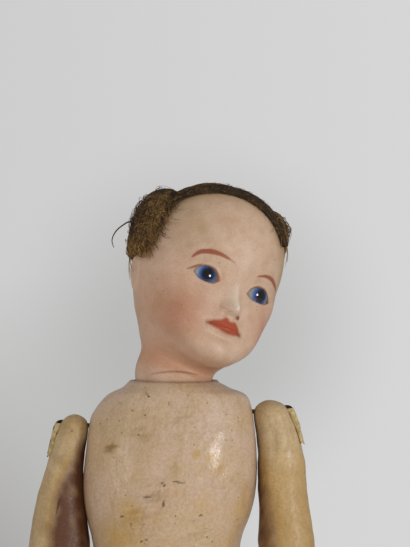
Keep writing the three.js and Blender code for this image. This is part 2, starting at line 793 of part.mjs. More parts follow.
function armCordEnd(side) {
  const { seat, axis } = shoulder(side);
  const end = seat.clone().addScaledVector(axis, -ARM_WIRE_REACH);
  end.y = ARM_WIRE_BACK;
  end.z -= ARM_WIRE_DIP - CORD_RADIUS - WIRE_BEND;
  return end;
}

// The doll stands on its soles, in the middle of its own outline box
const doll = group(
  neckNod,
  mesh("torso_front", torsoFront, body),
  mesh("torso_back", torsoBack, body),
  mesh("right_leg_cord", legCord(-1), elastic),
  mesh("left_leg_cord", legCord(1), elastic),
  mesh("arm_cord", cordLoop(armCordEnd(-1), armCordEnd(1), upward, cordBend), elastic),
  arm("right", -1),
  arm("left", 1),
  leg("right", -1),
  leg("left", 1),
);
const box = new THREE.Box3().setFromObject(doll, true);
const middle = box.getCenter(new THREE.Vector3());
doll.position.set(-middle.x, -middle.y, -box.min.z);

export default group(doll);
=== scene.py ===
"""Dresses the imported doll: painted bisque head, glass eyes, wig remains and varnished body.

Shapes are worked out in millimetres in the doll's own frame and stored in metres.
"""

import json

import bpy
import numpy as np
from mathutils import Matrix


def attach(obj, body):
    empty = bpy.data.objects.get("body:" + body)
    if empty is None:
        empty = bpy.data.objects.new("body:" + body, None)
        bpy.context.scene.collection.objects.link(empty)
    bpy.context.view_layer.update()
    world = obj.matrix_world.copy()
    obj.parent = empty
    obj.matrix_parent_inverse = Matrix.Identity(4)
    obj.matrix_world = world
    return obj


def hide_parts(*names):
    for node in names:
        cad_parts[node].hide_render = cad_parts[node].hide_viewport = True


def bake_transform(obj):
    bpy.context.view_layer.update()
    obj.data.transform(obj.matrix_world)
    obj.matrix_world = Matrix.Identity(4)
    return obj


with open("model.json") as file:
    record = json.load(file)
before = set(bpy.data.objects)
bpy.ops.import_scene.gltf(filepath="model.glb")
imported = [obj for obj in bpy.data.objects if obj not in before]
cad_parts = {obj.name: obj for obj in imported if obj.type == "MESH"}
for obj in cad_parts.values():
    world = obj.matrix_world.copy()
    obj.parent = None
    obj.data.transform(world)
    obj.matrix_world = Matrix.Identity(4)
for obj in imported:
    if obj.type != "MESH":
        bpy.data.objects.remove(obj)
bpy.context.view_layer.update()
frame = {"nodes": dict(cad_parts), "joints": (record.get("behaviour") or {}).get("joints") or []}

bl_info = {
    "name": "Strung doll",
    "version": (1, 0, 0),
    "blender": (4, 5, 0),
    "location": "View3D > Sidebar > Doll",
    "description": "Builds the visible pieces of an old strung doll on its packed frame",
    "category": "Object",
}

MM = 0.001
TINY = 1e-12
SIDES = ((-1, "right"), (1, "left"))
# Distance noted where a painted stroke is out of reach
FAR = 9.0
JOINTS = {joint["name"]: joint for joint in frame["joints"]}


def joint_place(name):
    """Place of a joint in millimetres."""
    return np.array(JOINTS[name]["pos_m"]) / MM


# The body's middle line at the ground, and the middle of the neck's ball
NECK_FROM_MIDDLE = np.array([1.4, 0.0, 205.8])
NECK = joint_place("head_nod")
MIDDLE = NECK - NECK_FROM_MIDDLE
# Radius of that ball, and the head's turns about x, y and z in degrees
NECK_BALL = 14.0
HEAD_POSE = (-7.0, 19.0, 28.5)

# Fineness of the meshes: points round a ring and rings
HEAD_AROUND, HEAD_RINGS, NECK_RINGS = 350, 236, 34
EYE_AROUND, EYE_RINGS = 96, 70
CAP_AROUND, CAP_RINGS = 220, 70
TORSO_AROUND, TORSO_RINGS, TORSO_INNER_RINGS, CUP_RINGS = 250, 300, 50, 22
LIMB_AROUND, ARM_RINGS, LEG_RINGS = 150, 230, 260

# Outline of the head from the neck ball's middle up: height and reach at the
# front, at the side and at the back
HEAD_LEVELS = np.array([
    [0, 14, 0, 14, 0, 14],
    [2.6, 13.3, 5, 13.9, 6, 15.4],
    [4.6, 16, 9, 16, 12, 18.2],
    [5.8, 22, 13, 18, 18, 21.8],
    [10, 27.2, 18, 21.2, 24, 24.2],
    [20, 26.4, 26, 24.3, 31, 28.5],
    [27.5, 25.2, 33, 26.4, 37, 32.8],
    [36, 23.6, 40, 26, 42.5, 33.5],
    [44, 24.4, 46.5, 25.6, 47, 32.3],
    [53, 23.6, 53.5, 24, 51, 30.5],
    [61.5, 19.8, 60, 20.6, 55, 28],
    [67.2, 13.4, 65.3, 15.5, 60, 23.5],
    [70.4, 5.5, 69.3, 8.8, 65.5, 15.5],
    [71, -5, 71, 0, 71, 5],
], float)
# Place up the outline where the skin closes, and where the cap over it does
CROWN = 12.93
CAP_CROWN = 12.94
# Middle height of the skull, half its height and reach, and mm from row to row
SKULL_MIDDLE = 38
SKULL_HALF_HEIGHT = 33
SKULL_REACH = 26
SKULL_ROW = 6.6

# Swellings of the face: rise, distance from the middle, height, spread sideways
# and spread upwards
FACE_RELIEF = np.array([
    [3.4, 0, 26.9, 2.7, 3],
    [1.9, 0, 33, 2.6, 5.5],
    [1, 2.9, 25.8, 1.8, 1.8],
    [-1, 11.4, 35.1, 6, 4.6],
    [0.8, 11.5, 42.5, 7, 3],
    [2.6, 16, 20, 7, 9],
    [1.3, 0, 20.6, 5, 3.2],
    [0.8, 0, 22.3, 3.6, 1.1],
    [0.9, 0, 18.9, 3.2, 1.2],
    [-0.9, 0, 15.9, 4.5, 1.6],
    [1.3, 0, 10.8, 5.5, 4],
])
# Fine modelling in the same form: tip and ridge of the nose, philtrum, nostrils,
# wings of the nose and mouth corners
FINE_RELIEF = np.array([
    [2.0, 0, 26.8, 2.0, 2.3],
    [0.6, 0, 31, 1.7, 4],
    [-0.3, 0, 23.6, 0.9, 1.1],
    [-0.9, 2.0, 24.2, 0.8, 0.7],
    [-0.35, 4.4, 25.6, 0.9, 1.6],
    [-0.5, 6.4, 19.4, 1.3, 1.2],
])

# Outlines of the body and limbs: height, front, side, back, sideways middle
TORSO_LEVELS = np.array([
    [93.5, 0, 0, 0, 0],
    [94.5, 11, 13, 12, 0],
    [99, 19, 24, 20, 0],
    [108, 23, 29, 24, 0],
    [120, 25.5, 29.5, 23, 0],
    [132, 25, 27.6, 20, -0.3],
    [144, 23.5, 26.6, 19, -1.2],
    [158, 23.8, 30, 20, -0.6],
    [170, 24.2, 31.4, 20.8, 0],
    [181, 23.2, 30.9, 20.8, 0.4],
    [190, 21.5, 29.8, 20.2, 1],
    [198, 19.4, 25.4, 19, 2.4],
    [200.9, 18, 19.6, 17.6, 2.2],
    [202.7, 16.7, 16.7, 16.7, 1.4],
])
ARM_LEVELS = np.array([
    [-98.5, 6, 0, -6, 5.4],
    [-97.5, 8.8, 2.4, -2.6, 5.4],
    [-91, 12, 4, 1.8, 5.4],
    [-84, 11.4, 4.8, 2.4, 5.4],
    [-78.5, 8.6, 5.4, 3, 5.4],
    [-66, 9.8, 8.6, 5.4, 5.2],
    [-54, 9.8, 10.8, 8.2, 5.2],
    [-44, 9.6, 11, 9.6, 5.4],
    [-32, 9.2, 9.6, 9.2, 6.4],
    [-20, 8.9, 8.1, 8.6, 7.5],
    [-10, 8.4, 7, 8.2, 7.2],
    [-3, 7.9, 6.4, 7.7, 6.2],
    [0.6, 6.5, 5.2, 6.3, 5.9],
    [2.4, 4, 3.2, 3.9, 5.7],
    [3.3, 0, 0, 0, 5.6],
])
LEG_LEVELS = np.array([
    [0, 23, 8.8, 12, 16],
    [2.4, 24.6, 9.5, 13, 16],
    [6, 24, 9.4, 12.6, 16],
    [10, 19, 8.6, 11.4, 16],
    [14, 12.4, 7.9, 10.4, 16],
    [19, 8.6, 7.6, 9.4, 16],
    [28, 9, 8.8, 10.4, 16],
    [40, 10.2, 10.2, 11.8, 16],
    [52, 10.4, 9.8, 10.2, 16],
    [60, 11.4, 10.2, 10, 16],
    [70, 11.8, 11.6, 11.6, 16.2],
    [84, 13.6, 13, 13.6, 16.8],
    [98, 15, 13.8, 15, 17.6],
    [112, 15.4, 13.6, 16, 18.6],
    [124, 13, 11, 13.4, 20.6],
    [131, 7.6, 6, 7.8, 22],
    [134, 0, 0, 0, 23],
])
# Other sizes of the body in mm, and the arms' lean in degrees
TORSO_WALL = 3.0
CUP_RADIUS = 15.3
CUP_RIM = 203.6
HIP_GAP = 0.15
ARM_LEAN = 7.0
FINGER_GROOVES = (-9.2, -6.4, -3.6)
WIRE_RADIUS = 0.8
# What tells the right arm from the left one: more or less width at the top, yellowing
# high and low, soil low down, strength of the dark inner side (bared ground and painted shade) and of the
# glow beside it
ARM_WAYS = {
    -1: {"width": -0.13, "high": 0.12, "low": 0.08, "soil": 0.26, "ground": 1, "glow": 1},
    1: {"width": 0.07, "high": 0.0, "low": 0.5, "soil": 0.2, "ground": 0.75, "glow": 0.5},
}
# Paper strips: height of the arch, curl of the foot and its level
PAPER_STRIPS = {-1: (2.3, -0.2, -12.8), 1: (2.7, 0.4, -13.4)}

# Marks on the torso's front, across and up: dark chips and scratches with half
# their width, then soft stains with their radius and strength
TORSO_CHIPS = [
    [(-8.4, 200.3, 0.15), (-7.2, 198.4, 0.4)], [(1.6, 169, 0.25), (3.4, 168.8, 0.4), (5.4, 168.6, 0.2)],
    [(-2.4, 168.6, 0.3), (-1.6, 167.6, 0.4)], [(-2.1, 162.4, 0.3), (-2.1, 160.6, 0.45)],
    [(-16.8, 156.6, 0.45), (-16.4, 156.3, 0.4)], [(11.2, 157, 0.5), (11.5, 156.8, 0.4)],
    [(-13.4, 154.2, 0.3), (-13, 152, 0.4)], [(-9, 163.6, 0.2), (-5.4, 163.2, 0.32)],
    [(-16.9, 186, 0.3), (-16.6, 185.8, 0.3)], [(-10, 147.8, 0.32), (-7.6, 148.6, 0.26)],
]
TORSO_STAINS = [
    (-20.9, 181, 1.6, 0.7), (-18.9, 181.4, 1.1, 0.5), (-21.6, 179.2, 1.5, 0.55), (17, 175, 2, 0.25),
    (-10, 186, 5, 0.2), (3, 188, 4, 0.16), (-4, 165, 5, 0.26), (-11, 155, 5, 0.28), (8, 192, 5, 0.12),
    (16, 184, 5, 0.12), (21, 168, 4, 0.16), (-6.4, 163.4, 1.6, 0.3), (-8.5, 153.6, 1.6, 0.3),
    (10, 150, 5, 0.16),
]
TORSO_YELLOWED = [
    (9.8, 178.4, 1.3, 1.2), (14.7, 177.3, 1.5, 1.1), (17.6, 173.4, 2.2, 0.5), (-14, 150, 7, 0.4),
    (-20, 172, 8, 0.1), (26, 160, 4, 0.35), (-24, 180, 6, 0.3), (-13, 158, 4, 0.45),
    (-19, 147, 5, 0.45), (-20.4, 180.6, 2.2, 0.4),
]
ARM_CRACK = [(6.8, -25.5, 0.12), (7.1, -28.5, 0.4), (7.7, -33.3, 0.15)]
ARM_LUMP = (13.2, -3.5, -11.5)

# Elastic cords: half their thickness, and from their middle to the wire's
CORD_RADIUS = 0.95
CORD_BEND = 2.5
CORD_SIDES = 10

EYE_RADIUS = 6.3
EYE_PLACES = ((-9.4, -15.0, 35.0), (11.5, -13.9, 35.3))
# Middle of each eye opening, across and up the face, right eye first
OPENING_MIDDLE = ((-10.8, 34.9), (11.5, 34.4))
OPENING_HALF_WIDTH = (4.3, 5.9)
OPENING_TOP = (3.3, 3.7)
OPENING_FOOT = (2.0, 1.5)
OPENING_LEAN = 0.03
# Depth of the skin's hollow behind each opening, which holds the glass
EYE_SINK = 6.0
# Where each eye looks: degrees to the doll's left and up
EYE_LOOK = ((-11.2, 4.7), (13.0, 2.6))

# Wig edge: a leaning plane, turned towards the doll's right
WIG_EDGE = np.array([0, -14.6, 66.7])
WIG_LEAN = 20.8
WIG_SKEW = 24.0
BAND_HALF_WIDTH = 1.6
BAND_END = 56.0
BAND_LIFT = 1.1
CAP_EDGE = 4.3
# Heights of the cap's two sides over the head, and number of hairs left on it
CAP_UNDER = 0.3
CAP_OVER = 1.0
CAP_HAIRS = 2600
# Lower edge of the cap: a plane that rises from the nape towards the front
NAPE = np.array([0, 30.0, 30.0])
NAPE_SLOPE = 34.0
# Tufts: place up the head's outline, angle round it in degrees, half sizes of
# both, thickness in mm and how much more of it lies at the top
RIGHT_TUFT = {"place": 8.3, "angle": -112, "half_place": 2.2, "half_angle": 30, "thick": 5.0, "skew": 0.5}
LEFT_TUFT = {"place": 10.35, "angle": 53, "half_place": 0.9, "half_angle": 17, "thick": 1.7, "skew": 0.4}
THREAD_ROUTE = [
    (-22.6, 20.7, 47.8), (-26.2, 22.4, 48), (-27.9, 23.5, 46.1), (-29.1, 24.4, 43.7),
    (-29.5, 24.9, 41.6), (-29.4, 25, 39.7), (-28.7, 24.9, 38.3), (-27.8, 24.6, 37.3),
]

# Soft spots on the head, with place, size and strength: dirt, then blush
HEAD_SMUDGES = [
    (-19.5, -12, 52, 10, 0.4), (-19, -16.3, 43.1, 1.6, 0.35), (-16.7, -17.8, 50.4, 2.4, 0.3),
    (-9.5, -21.6, 53, 3, 0.2), (-14, -19.5, 47, 1.2, 0.3), (-4.1, -22.9, 54.3, 1.2, 0.25),
    (3.5, -22, 57, 1.6, 0.25),
]
CHEEKS = [(-15.4, -20.4, 19.2, 9, 0.56), (16.5, -19.5, 24.5, 7.5, 0.5)]
# Places of painted shade: side of the jaw, and inner corner of the right eye across and up
JAW_SHADE = (-20, -10, 17)
EYE_CORNER = (-6.4, 35.4)

# Painted shade: a dark line round the front of the neck near its foot, where it sinks into the torso's cup
NECK_GAP_SHADE = [(-12, -6.2, -3.7), (-10, -9.5, -2.1), (-6.4, -12.5, -0.2), (-1.6, -13.5, 1.1), (2.7, -13, 1.7)]
# Painted lines on the face, across and up, with half their width
BROWS = (
    [(-17.1, 39.7, 0.3), (-15.5, 42.1, 0.75), (-12.7, 43.3, 0.9), (-9, 43.5, 0.7), (-3.7, 42.5, 0.2)],
    [(6.9, 41.1, 0.2), (10.3, 42.4, 0.55), (14.1, 42.5, 0.75), (18.2, 41.2, 0.6), (20.6, 40.0, 0.25)],
)
# Line that runs out from the corner of the right eye
LID_TAIL = [(-17.5, 34.9, 0.1), (-15.6, 36.4, 0.4), (-13.6, 37.9, 0.4)]
LID_LINE = 0.34
LIP_OUTLINE = [
    (-6.8, 19.4), (-5.2, 20.8), (-3.2, 21.6), (-1.5, 22.9), (0.3, 22.1), (2.4, 22.4), (4.3, 21.5),
    (5.7, 20.2), (6.8, 19.1), (4.6, 18.1), (1.3, 17.7), (-1.2, 17.9), (-3.6, 18.3), (-5.4, 18.6),
]
LIP_PARTING = [
    (-7, 19.2, 0.5), (-5.2, 19.5, 0.4), (-3, 19.8, 0.1), (0, 20.1, 0.02), (3.8, 19.6, 0.1), (6.7, 18.9, 0.7),
]
NOSTRIL = (3.4, 24.4)
# Painted shade under the wing of the nose: a soft brown line
NOSE_WING_SHADE = [(-4.6, 26.4, 0.1), (-3.4, 25.9, 0.2), (-1.4, 25.4, 0.1)]

# Radius of the floor in mm
FLOOR_RADIUS = 700
# Lamps: place in metres, size and share of the power that is set
LAMPS = {
    "left_lamp": ((-0.82, -0.66, 0.22), 0.2, 0.28),
    "right_lamp": ((0.8, -0.7, 0.25), 0.2, 1.0),
    "front_fill": ((0.05, -0.85, 0.08), 0.4, 0.38),
}
LAMP_AIM = (0.0, 0.0, 0.2)
# Camera of the photo: metres from the body's middle at the ground, lens and sensor in mm
CAMERA_PLACE = (0.0126, -0.9, 0.242)
CAMERA_LENS = 164.5
CAMERA_SENSOR = 36


def linear(code):
    """Linear colour of an sRGB hex value."""
    channels = np.array([int(code[i:i + 2], 16) for i in (1, 3, 5)]) / 255
    low = channels / 12.92
    high = ((channels + 0.055) / 1.055) ** 2.4
    return tuple(float(c) for c in np.where(channels <= 0.04045, low, high))


def turn(axis, degrees):
    """Matrix that turns by an angle about the x, y or z axis."""
    c, s = np.cos(np.radians(degrees)), np.sin(np.radians(degrees))
    i, j = {"x": (1, 2), "y": (2, 0), "z": (0, 1)}[axis]
    matrix = np.eye(3)
    matrix[i, i] = matrix[j, j] = c
    matrix[i, j], matrix[j, i] = -s, s
    return matrix


HEAD_TURN = turn("x", HEAD_POSE[0]) @ turn("y", HEAD_POSE[1]) @ turn("z", HEAD_POSE[2])


def on_head(points):
    """Moves points from the head's own frame to the doll's."""
    return points @ HEAD_TURN.T + NECK


def circle(count):
    """Angles evenly round a circle."""
    return np.linspace(0, 2 * np.pi, count, endpoint=False)


def unit(vectors):
    """Vectors brought to length 1."""
    return vectors / (np.linalg.norm(vectors, axis=-1, keepdims=True) + TINY)


def distance(points, spot):
    """Distance of points from one spot."""
    return np.linalg.norm(points - np.array(spot), axis=-1)


def spots(points, rows):
    """Soft round spots added up: each row is a place, the size of its bell curve and its strength."""
    return sum(amount * bell(distance(points, spot), 0, size) for *spot, size, amount in rows)


def sphere(radius, polar, around):
    """Points on a ball: x = r sin p sin a, y = -r sin p cos a, z = r cos p."""
    return np.stack([
        radius * np.sin(polar) * np.sin(around),
        -radius * np.sin(polar) * np.cos(around),
        radius * np.cos(polar) + 0 * around,
    ], -1)


def limb_rows(levels):
    """Rows with the same height at the front, side and back."""
    z, front, side, back, middle = levels.T
    return np.stack([z, front, z, side, z, back, middle], 1)


def row_beyond(end, inner):
    """Row past the end of an outline: past a pole it is the last row seen across it."""
    if end[3] > 0:
        return 2 * end - inner
    across = [inner[4], -inner[5], inner[2], -inner[3], inner[0], -inner[1]]
    return np.concatenate([across, inner[6:]])


def between(padded, place):
    """Rows at places between the inner ones: a Catmull-Rom curve through every column."""
    index = np.clip(np.floor(place).astype(int), 0, len(padded) - 4)
    u = (place - index)[:, None]
    a, b, c, d = (padded[index + k] for k in range(4))
    leave, arrive, step = (c - a) / 2, (d - b) / 2, c - b
    return b + u * (leave + u * (3 * step - 2 * leave - arrive + u * (leave + arrive - 2 * step)))


def rows_at(rows, place):
    """Rows of an outline at places along it, smooth across its poles."""
    return between(np.vstack([row_beyond(rows[0], rows[1]), rows, row_beyond(rows[-1], rows[-2])]), place)


def curve_through(points, count):
    """Smooth curve through points, evenly stepped in its parameter."""
    rows = np.asarray(points, float)
    padded = np.vstack([2 * rows[0] - rows[1], rows, 2 * rows[-1] - rows[-2]])
    return between(padded, np.linspace(0, len(rows) - 1, count))


def ring_points(columns, angle):
    """Points on rings, with the reach sideways and forward or back: each ring is two half
    ellipses, x = middle + side sin a, y = -reach cos a, z from the side's height to the
    front's or back's by cos a squared."""
    front_z, front, side_z, side, back_z, back = columns[:6]
    middle = columns[6] if len(columns) > 6 else 0
    s, c = np.sin(angle), np.cos(angle)
    reach = np.where(c > 0, front, back)
    rise = np.where(c > 0, front_z, back_z) - side_z
    return np.stack([middle + side * s, -reach * c, side_z + rise * c * c], -1), side, reach


def sections(rows, place, angle):
    """Rings of an outline at places along it."""
    return ring_points(rows_at(rows, place).T[..., None], angle)[0]


def ring_normals(grid):
    """Outward unit normals of closed rings, from the steps around and up."""
    around = np.roll(grid, -1, 1) - np.roll(grid, 1, 1)
    return unit(np.cross(around, np.gradient(grid, axis=0)))


def spread(weight, low, high, count):
    """Values from low to high, closer together where the weight is larger."""
    fine = np.linspace(low, high, 4000)
    total = np.cumsum(weight(fine))
    return np.interp(np.linspace(total[0], total[-1], count), total, fine)


def smooth_step(value, low, high):
    """Smooth rise from 0 at low to 1 at high."""
    t = np.clip((value - low) / (high - low), 0, 1)
    return t * t * (3 - 2 * t)


def bell(value, middle, width):
    """Bell curve of height 1."""
    return np.exp(-(((value - middle) / width) ** 2))


def ripple(points, size, seed):
    """Soft lumps about as large as size, from a few seeded waves added up."""
    rng = np.random.default_rng(seed)
    waves = rng.normal(0, 2.2 / size, (14, 3))
    phases = rng.uniform(0, 2 * np.pi, 14)
    return np.sin(points @ waves.T + phases).sum(-1) / np.sqrt(14)


def push_behind(points, seat, axis, soft):
    """Presses what stands past a plane back onto it, with a rounded edge."""
    past = (points - seat) @ axis
    back = (past + np.sqrt(past * past + soft * soft)) / 2
    return points - back[..., None] * axis


def stroke_distance(x, z, line):
    """Distance from a painted stroke's edge, negative inside it."""
    samples = curve_through(line, 50)
    far = np.full(x.shape, FAR)
    near = (np.abs(x - samples[:, 0].mean()) < 12) & (np.abs(z - samples[:, 1].mean()) < 8)
    gaps = np.hypot(x[near][:, None] - samples[:, 0], z[near][:, None] - samples[:, 1])
    far[near] = (gaps - samples[:, 2]).min(1)
    return far


def outline_distance(x, z, outline):
    """Distance from a closed outline, negative inside it by the crossing rule."""
    loop = curve_through([*outline, outline[0]], 120)
    near = (np.abs(x - loop[:, 0].mean()) < 14) & (np.abs(z - loop[:, 1].mean()) < 10)
    px, pz = x[near][:, None], z[near][:, None]
    gaps = np.hypot(px - loop[:, 0], pz - loop[:, 1]).min(1)
    x0, z0 = loop[:-1].T
    x1, z1 = loop[1:].T
    crosses = (z0 > pz) != (z1 > pz)
    at = x0 + (pz - z0) / np.where(z1 == z0, 1e-9, z1 - z0) * (x1 - x0)
    inside = (crosses & (px < at)).sum(1) % 2 == 1
    far = np.full(x.shape, FAR)
    far[near] = np.where(inside, -gaps, gaps)
    return far


def new_piece(name, points, faces, fields, material):
    """Mesh object at the origin from points in millimetres, with fields as attributes."""
    mesh = bpy.data.meshes.new(name)
    mesh.from_pydata(points * MM, [], faces)
    for field, values in fields.items():
        kind, key = ("FLOAT", "value") if values.ndim == 1 else ("FLOAT_VECTOR", "vector")
        layer = mesh.attributes.new(field, kind, "POINT")
        layer.data.foreach_set(key, values.astype(np.float32).ravel())
    mesh.shade_smooth()
    mesh.materials.append(material)
    piece = bpy.data.objects.new(name, mesh)
    bpy.context.scene.collection.objects.link(piece)
    return piece


def skin_piece(name, grid, material, fields=()):
    """Closed skin over rings: quads between rings and a fan at each end, faced so that
    the volume inside is positive."""
    rings, around = grid.shape[:2]
    index = np.arange(rings * around).reshape(rings, around)
    right = np.roll(index, -1, 1)
    quads = np.stack([index[:-1], right[:-1], right[1:], index[1:]], -1).reshape(-1, 4)
    foot = np.full(around, rings * around)
    fans = np.concatenate([
        np.stack([foot, right[0], index[0]], -1),
        np.stack([foot + 1, index[-1], right[-1]], -1),
    ])
    flat = {}
    for field, values in dict(fields).items():
        ends = values[[0, -1]].mean(1)
        flat[field] = np.concatenate([values.reshape(-1, *values.shape[2:]), ends])
    points = np.concatenate([grid.reshape(-1, 3), grid[[0, -1]].mean(1)])
    a, b, c, d = (points[quads[:, k]] - points.mean(0) for k in range(4))
    volume = (np.cross(a, b) * c + np.cross(a, c) * d).sum()
    if volume < 0:
        quads, fans = quads[:, ::-1], fans[:, ::-1]
    return new_piece(name, points, quads.tolist() + fans.tolist(), flat, material)


def circles_along(paths, sides, helper):
    """Unit circles square to the direction of paths, begun square to a helper direction."""
    ahead = unit(np.gradient(paths, axis=-2))
    first = unit(np.cross(ahead, helper))
    second = np.cross(ahead, first)
    angle = (2 * np.pi * np.arange(sides) / sides)[:, None]
    return np.cos(angle) * first[..., None, :] + np.sin(angle) * second[..., None, :]


def tube_rings(path, radius, sides):
    """Rings of a round tube along one path: circles square to its direction."""
    radius = np.broadcast_to(radius, len(path))[:, None, None]
    return path[:, None] + radius * circles_along(path, sides, np.array([0.31, 0.92, 0.24]))


def strand_piece(name, paths, radius, material, tone):
    """Many thin hairs in one mesh: three-sided tubes that taper to both ends."""
    count, steps = paths.shape[:2]
    along = np.linspace(0, 1, steps)
    taper = 0.25 + 0.75 * np.sin(np.pi * np.clip(along * 0.92 + 0.04, 0, 1)) ** 0.5
    width = (np.asarray(radius)[:, None] * taper)[..., None, None]
    circles = circles_along(paths, 3, np.array([0.37, 0.29, 0.88]))
    points = (paths[:, :, None] + width * circles).reshape(-1, 3)
    index = np.arange(count * steps * 3).reshape(count, steps, 3)
    right = np.roll(index, -1, 2)
    quads = np.stack([index[:, :-1], right[:, :-1], right[:, 1:], index[:, 1:]], -1).reshape(-1, 4)
    ends = np.concatenate([index[:, 0, ::-1], index[:, -1]])
    fields = {"tone": np.repeat(tone, steps * 3)}
    return new_piece(name, points, quads.tolist() + ends.tolist(), fields, material)


def settle(piece, body, slot, *nodes):
    """Ties a piece to its body and hides the solids that it stands for. The slot for its finish is not used.
    """
    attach(piece, body)
    if nodes:
        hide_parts(*nodes)


def fill(tree, made, inputs):
    """Links a node's inputs or sets their values, colours with full alpha."""
    for name, value in inputs.items():
        socket = made.inputs[name]
        if isinstance(value, bpy.types.NodeSocket):
            tree.links.new(value, socket)
        else:
            socket.default_value = (*value, 1.0) if socket.type == "RGBA" else value


def add(tree, kind, inputs=None, stops=None, **settings):
    """Adds a node with its settings, its ramp stops and its linked or set inputs."""
    made = tree.nodes.new("ShaderNode" + kind)
    for name, value in settings.items():
        setattr(made, name, value)
    if stops:
        elements = made.color_ramp.elements
        elements.remove(elements[1])
        elements[0].position = stops[0][0]
        elements[0].color = (*stops[0][1], 1.0)
        for place, colour in stops[1:]:
            elements.new(place).color = (*colour, 1.0)
    fill(tree, made, inputs or {})
    return made.outputs


def new_material(name):
    """Empty node material with a principled shader on its output."""
    material = bpy.data.materials.new(name)
    material.use_nodes = True
    tree = material.node_tree
    tree.nodes.clear()
    shader = tree.nodes.new("ShaderNodeBsdfPrincipled")
    add(tree, "OutputMaterial", {"Surface": shader.outputs[0]})
    return material, tree, shader


def per_mm(size):
    """Texture scale for features of a size in millimetres."""
    return 1 / (size * MM)


def patches(tree, colour, other, place, size, detail, rough, low, high, most=1.0):
    """Another colour in patches of noise, none of it at the low value and most at the high
    one. Gives the noise and the mixed colour."""
    waves = {"Scale": per_mm(size), "Detail": detail, "Roughness": rough}
    noise = add(tree, "TexNoise", {"Vector": place, **waves})[0]
    amount = add(tree, "MapRange", {"Value": noise, "From Min": low, "From Max": high, "To Max": most})[0]
    return noise, add(tree, "Mix", {0: amount, 6: colour, 7: other}, data_type="RGBA")[2]


def dots(tree, place, low, high, widest, cover, crowd=None):
    """Dark dots in some cells of about 2 mm: a cell's random value, raised by how crowded
    the place is, sets its dot's width from none at low to the widest at high."""
    cells = add(tree, "TexVoronoi", {"Vector": place, "Scale": per_mm(2.2)})
    chosen = add(tree, "SeparateColor", {0: cells["Color"]})[0]
    if crowd is not None:
        chosen = add(tree, "Math", {0: crowd, 1: 2.2, 2: chosen}, operation="MULTIPLY_ADD")[0]
    widths = {"From Min": low, "From Max": high, "To Min": -0.02, "To Max": widest}
    width = add(tree, "MapRange", {"Value": chosen, **widths})[0]
    inside = add(tree, "Math", {0: width, 1: cells["Distance"]}, operation="SUBTRACT")[0]
    return add(tree, "MapRange", {"Value": inside, "From Min": 0.0, "From Max": 0.05, "To Max": cover})[0]


def fired_bisque(skin, blush, brow, lip):
    """Unglazed porcelain, tinted and painted: matt with a faint waxy sheen, fine grit,
    blushed cheeks, painted brows and lips, old grime in the pores, and painted shade and highlight."""
    material, tree, shader = new_material("painted_bisque")
    place = add(tree, "TexCoord")["Object"]
    mottle, colour = patches(tree, skin, linear("#bd9b80"), place, 5, 4.0, 0.6, 0.35, 0.7)
    _, colour = patches(tree, colour, linear("#a5835f"), place, 13, 5.0, 0.65, 0.5, 0.78, 0.4)
    layers = {
        "yellowing": linear("#9c8052"),
        # Painted highlight on the tip and ridge of the nose
        "nose_highlight": linear("#e8d6c0"),
        # Painted shade under the chin, on the jaw's side and at the right eye's inner corner
        "shade": linear("#b67a52"),
        "blush": blush,
    }
    for field, paint in layers.items():
        amount = add(tree, "Attribute", attribute_name=field)["Fac"]
        colour = add(tree, "Mix", {0: amount, 6: colour, 7: paint}, data_type="RGBA")[2]
    # Painted strokes: the field is the distance from the stroke's edge in mm
    ragged = add(tree, "TexNoise", {"Vector": place, "Scale": per_mm(0.7), "Detail": 2.0})[0]
    ragged = add(tree, "Math", {0: ragged, 1: -0.5}, operation="ADD")[0]
    strokes = (
        ("lid_line", linear("#77492e"), 0.3, 0.85),
        ("brow", brow, 0.22, 0.92),
        ("lips", lip, 0.5, 0.95),
        ("lip_parting", linear("#71401f"), 0.35, 0.7),
        ("nostril", linear("#7f3520"), 0.3, 0.9),
        # Painted shade under the wing of the nose
        ("wing", linear("#9a6a4c"), 0.45, 0.5),
        # Painted shade of the gap between neck and torso, a dark line on the neck
        ("neck_gap_shade", linear("#5d3d2e"), 0.3, 0.75),
    )
    for field, paint, soft, cover in strokes:
        edge = add(tree, "Attribute", attribute_name=field)["Fac"]
        edge = add(tree, "Math", {0: ragged, 1: 0.4, 2: edge}, operation="MULTIPLY_ADD")[0]
        mask = add(tree, "MapRange", {"Value": edge, "From Min": soft, "From Max": -soft, "To Max": cover})[0]
        colour = add(tree, "Mix", {0: mask, 6: colour, 7: paint}, data_type="RGBA")[2]
    # Black iron specks in the clay
    speck = dots(tree, place, 0.55, 1.0, 0.15, 0.65)
    colour = add(tree, "Mix", {0: speck, 6: colour, 7: linear("#5a4434")}, data_type="RGBA")[2]
    grit = add(tree, "TexNoise", {"Vector": place, "Scale": per_mm(0.5), "Detail": 3.0})[0]
    dusty = {"From Min": 0.3, "From Max": 0.7, "To Min": 0.9, "To Max": 1.07}
    fine = add(tree, "MapRange", {"Value": grit, **dusty})[0]
    colour = add(tree, "Mix", {0: 1.0, 6: colour, 7: fine}, data_type="RGBA", blend_type="MULTIPLY")[2]
    bump = add(tree, "Bump", {"Height": grit, "Strength": 0.25, "Distance": 0.12 * MM})[0]
    rough = add(tree, "MapRange", {"Value": mottle, "To Min": 0.4, "To Max": 0.56})[0]
    fill(tree, shader, {"Base Color": colour, "Roughness": rough, "Normal": bump, "IOR": 1.5})
    return material


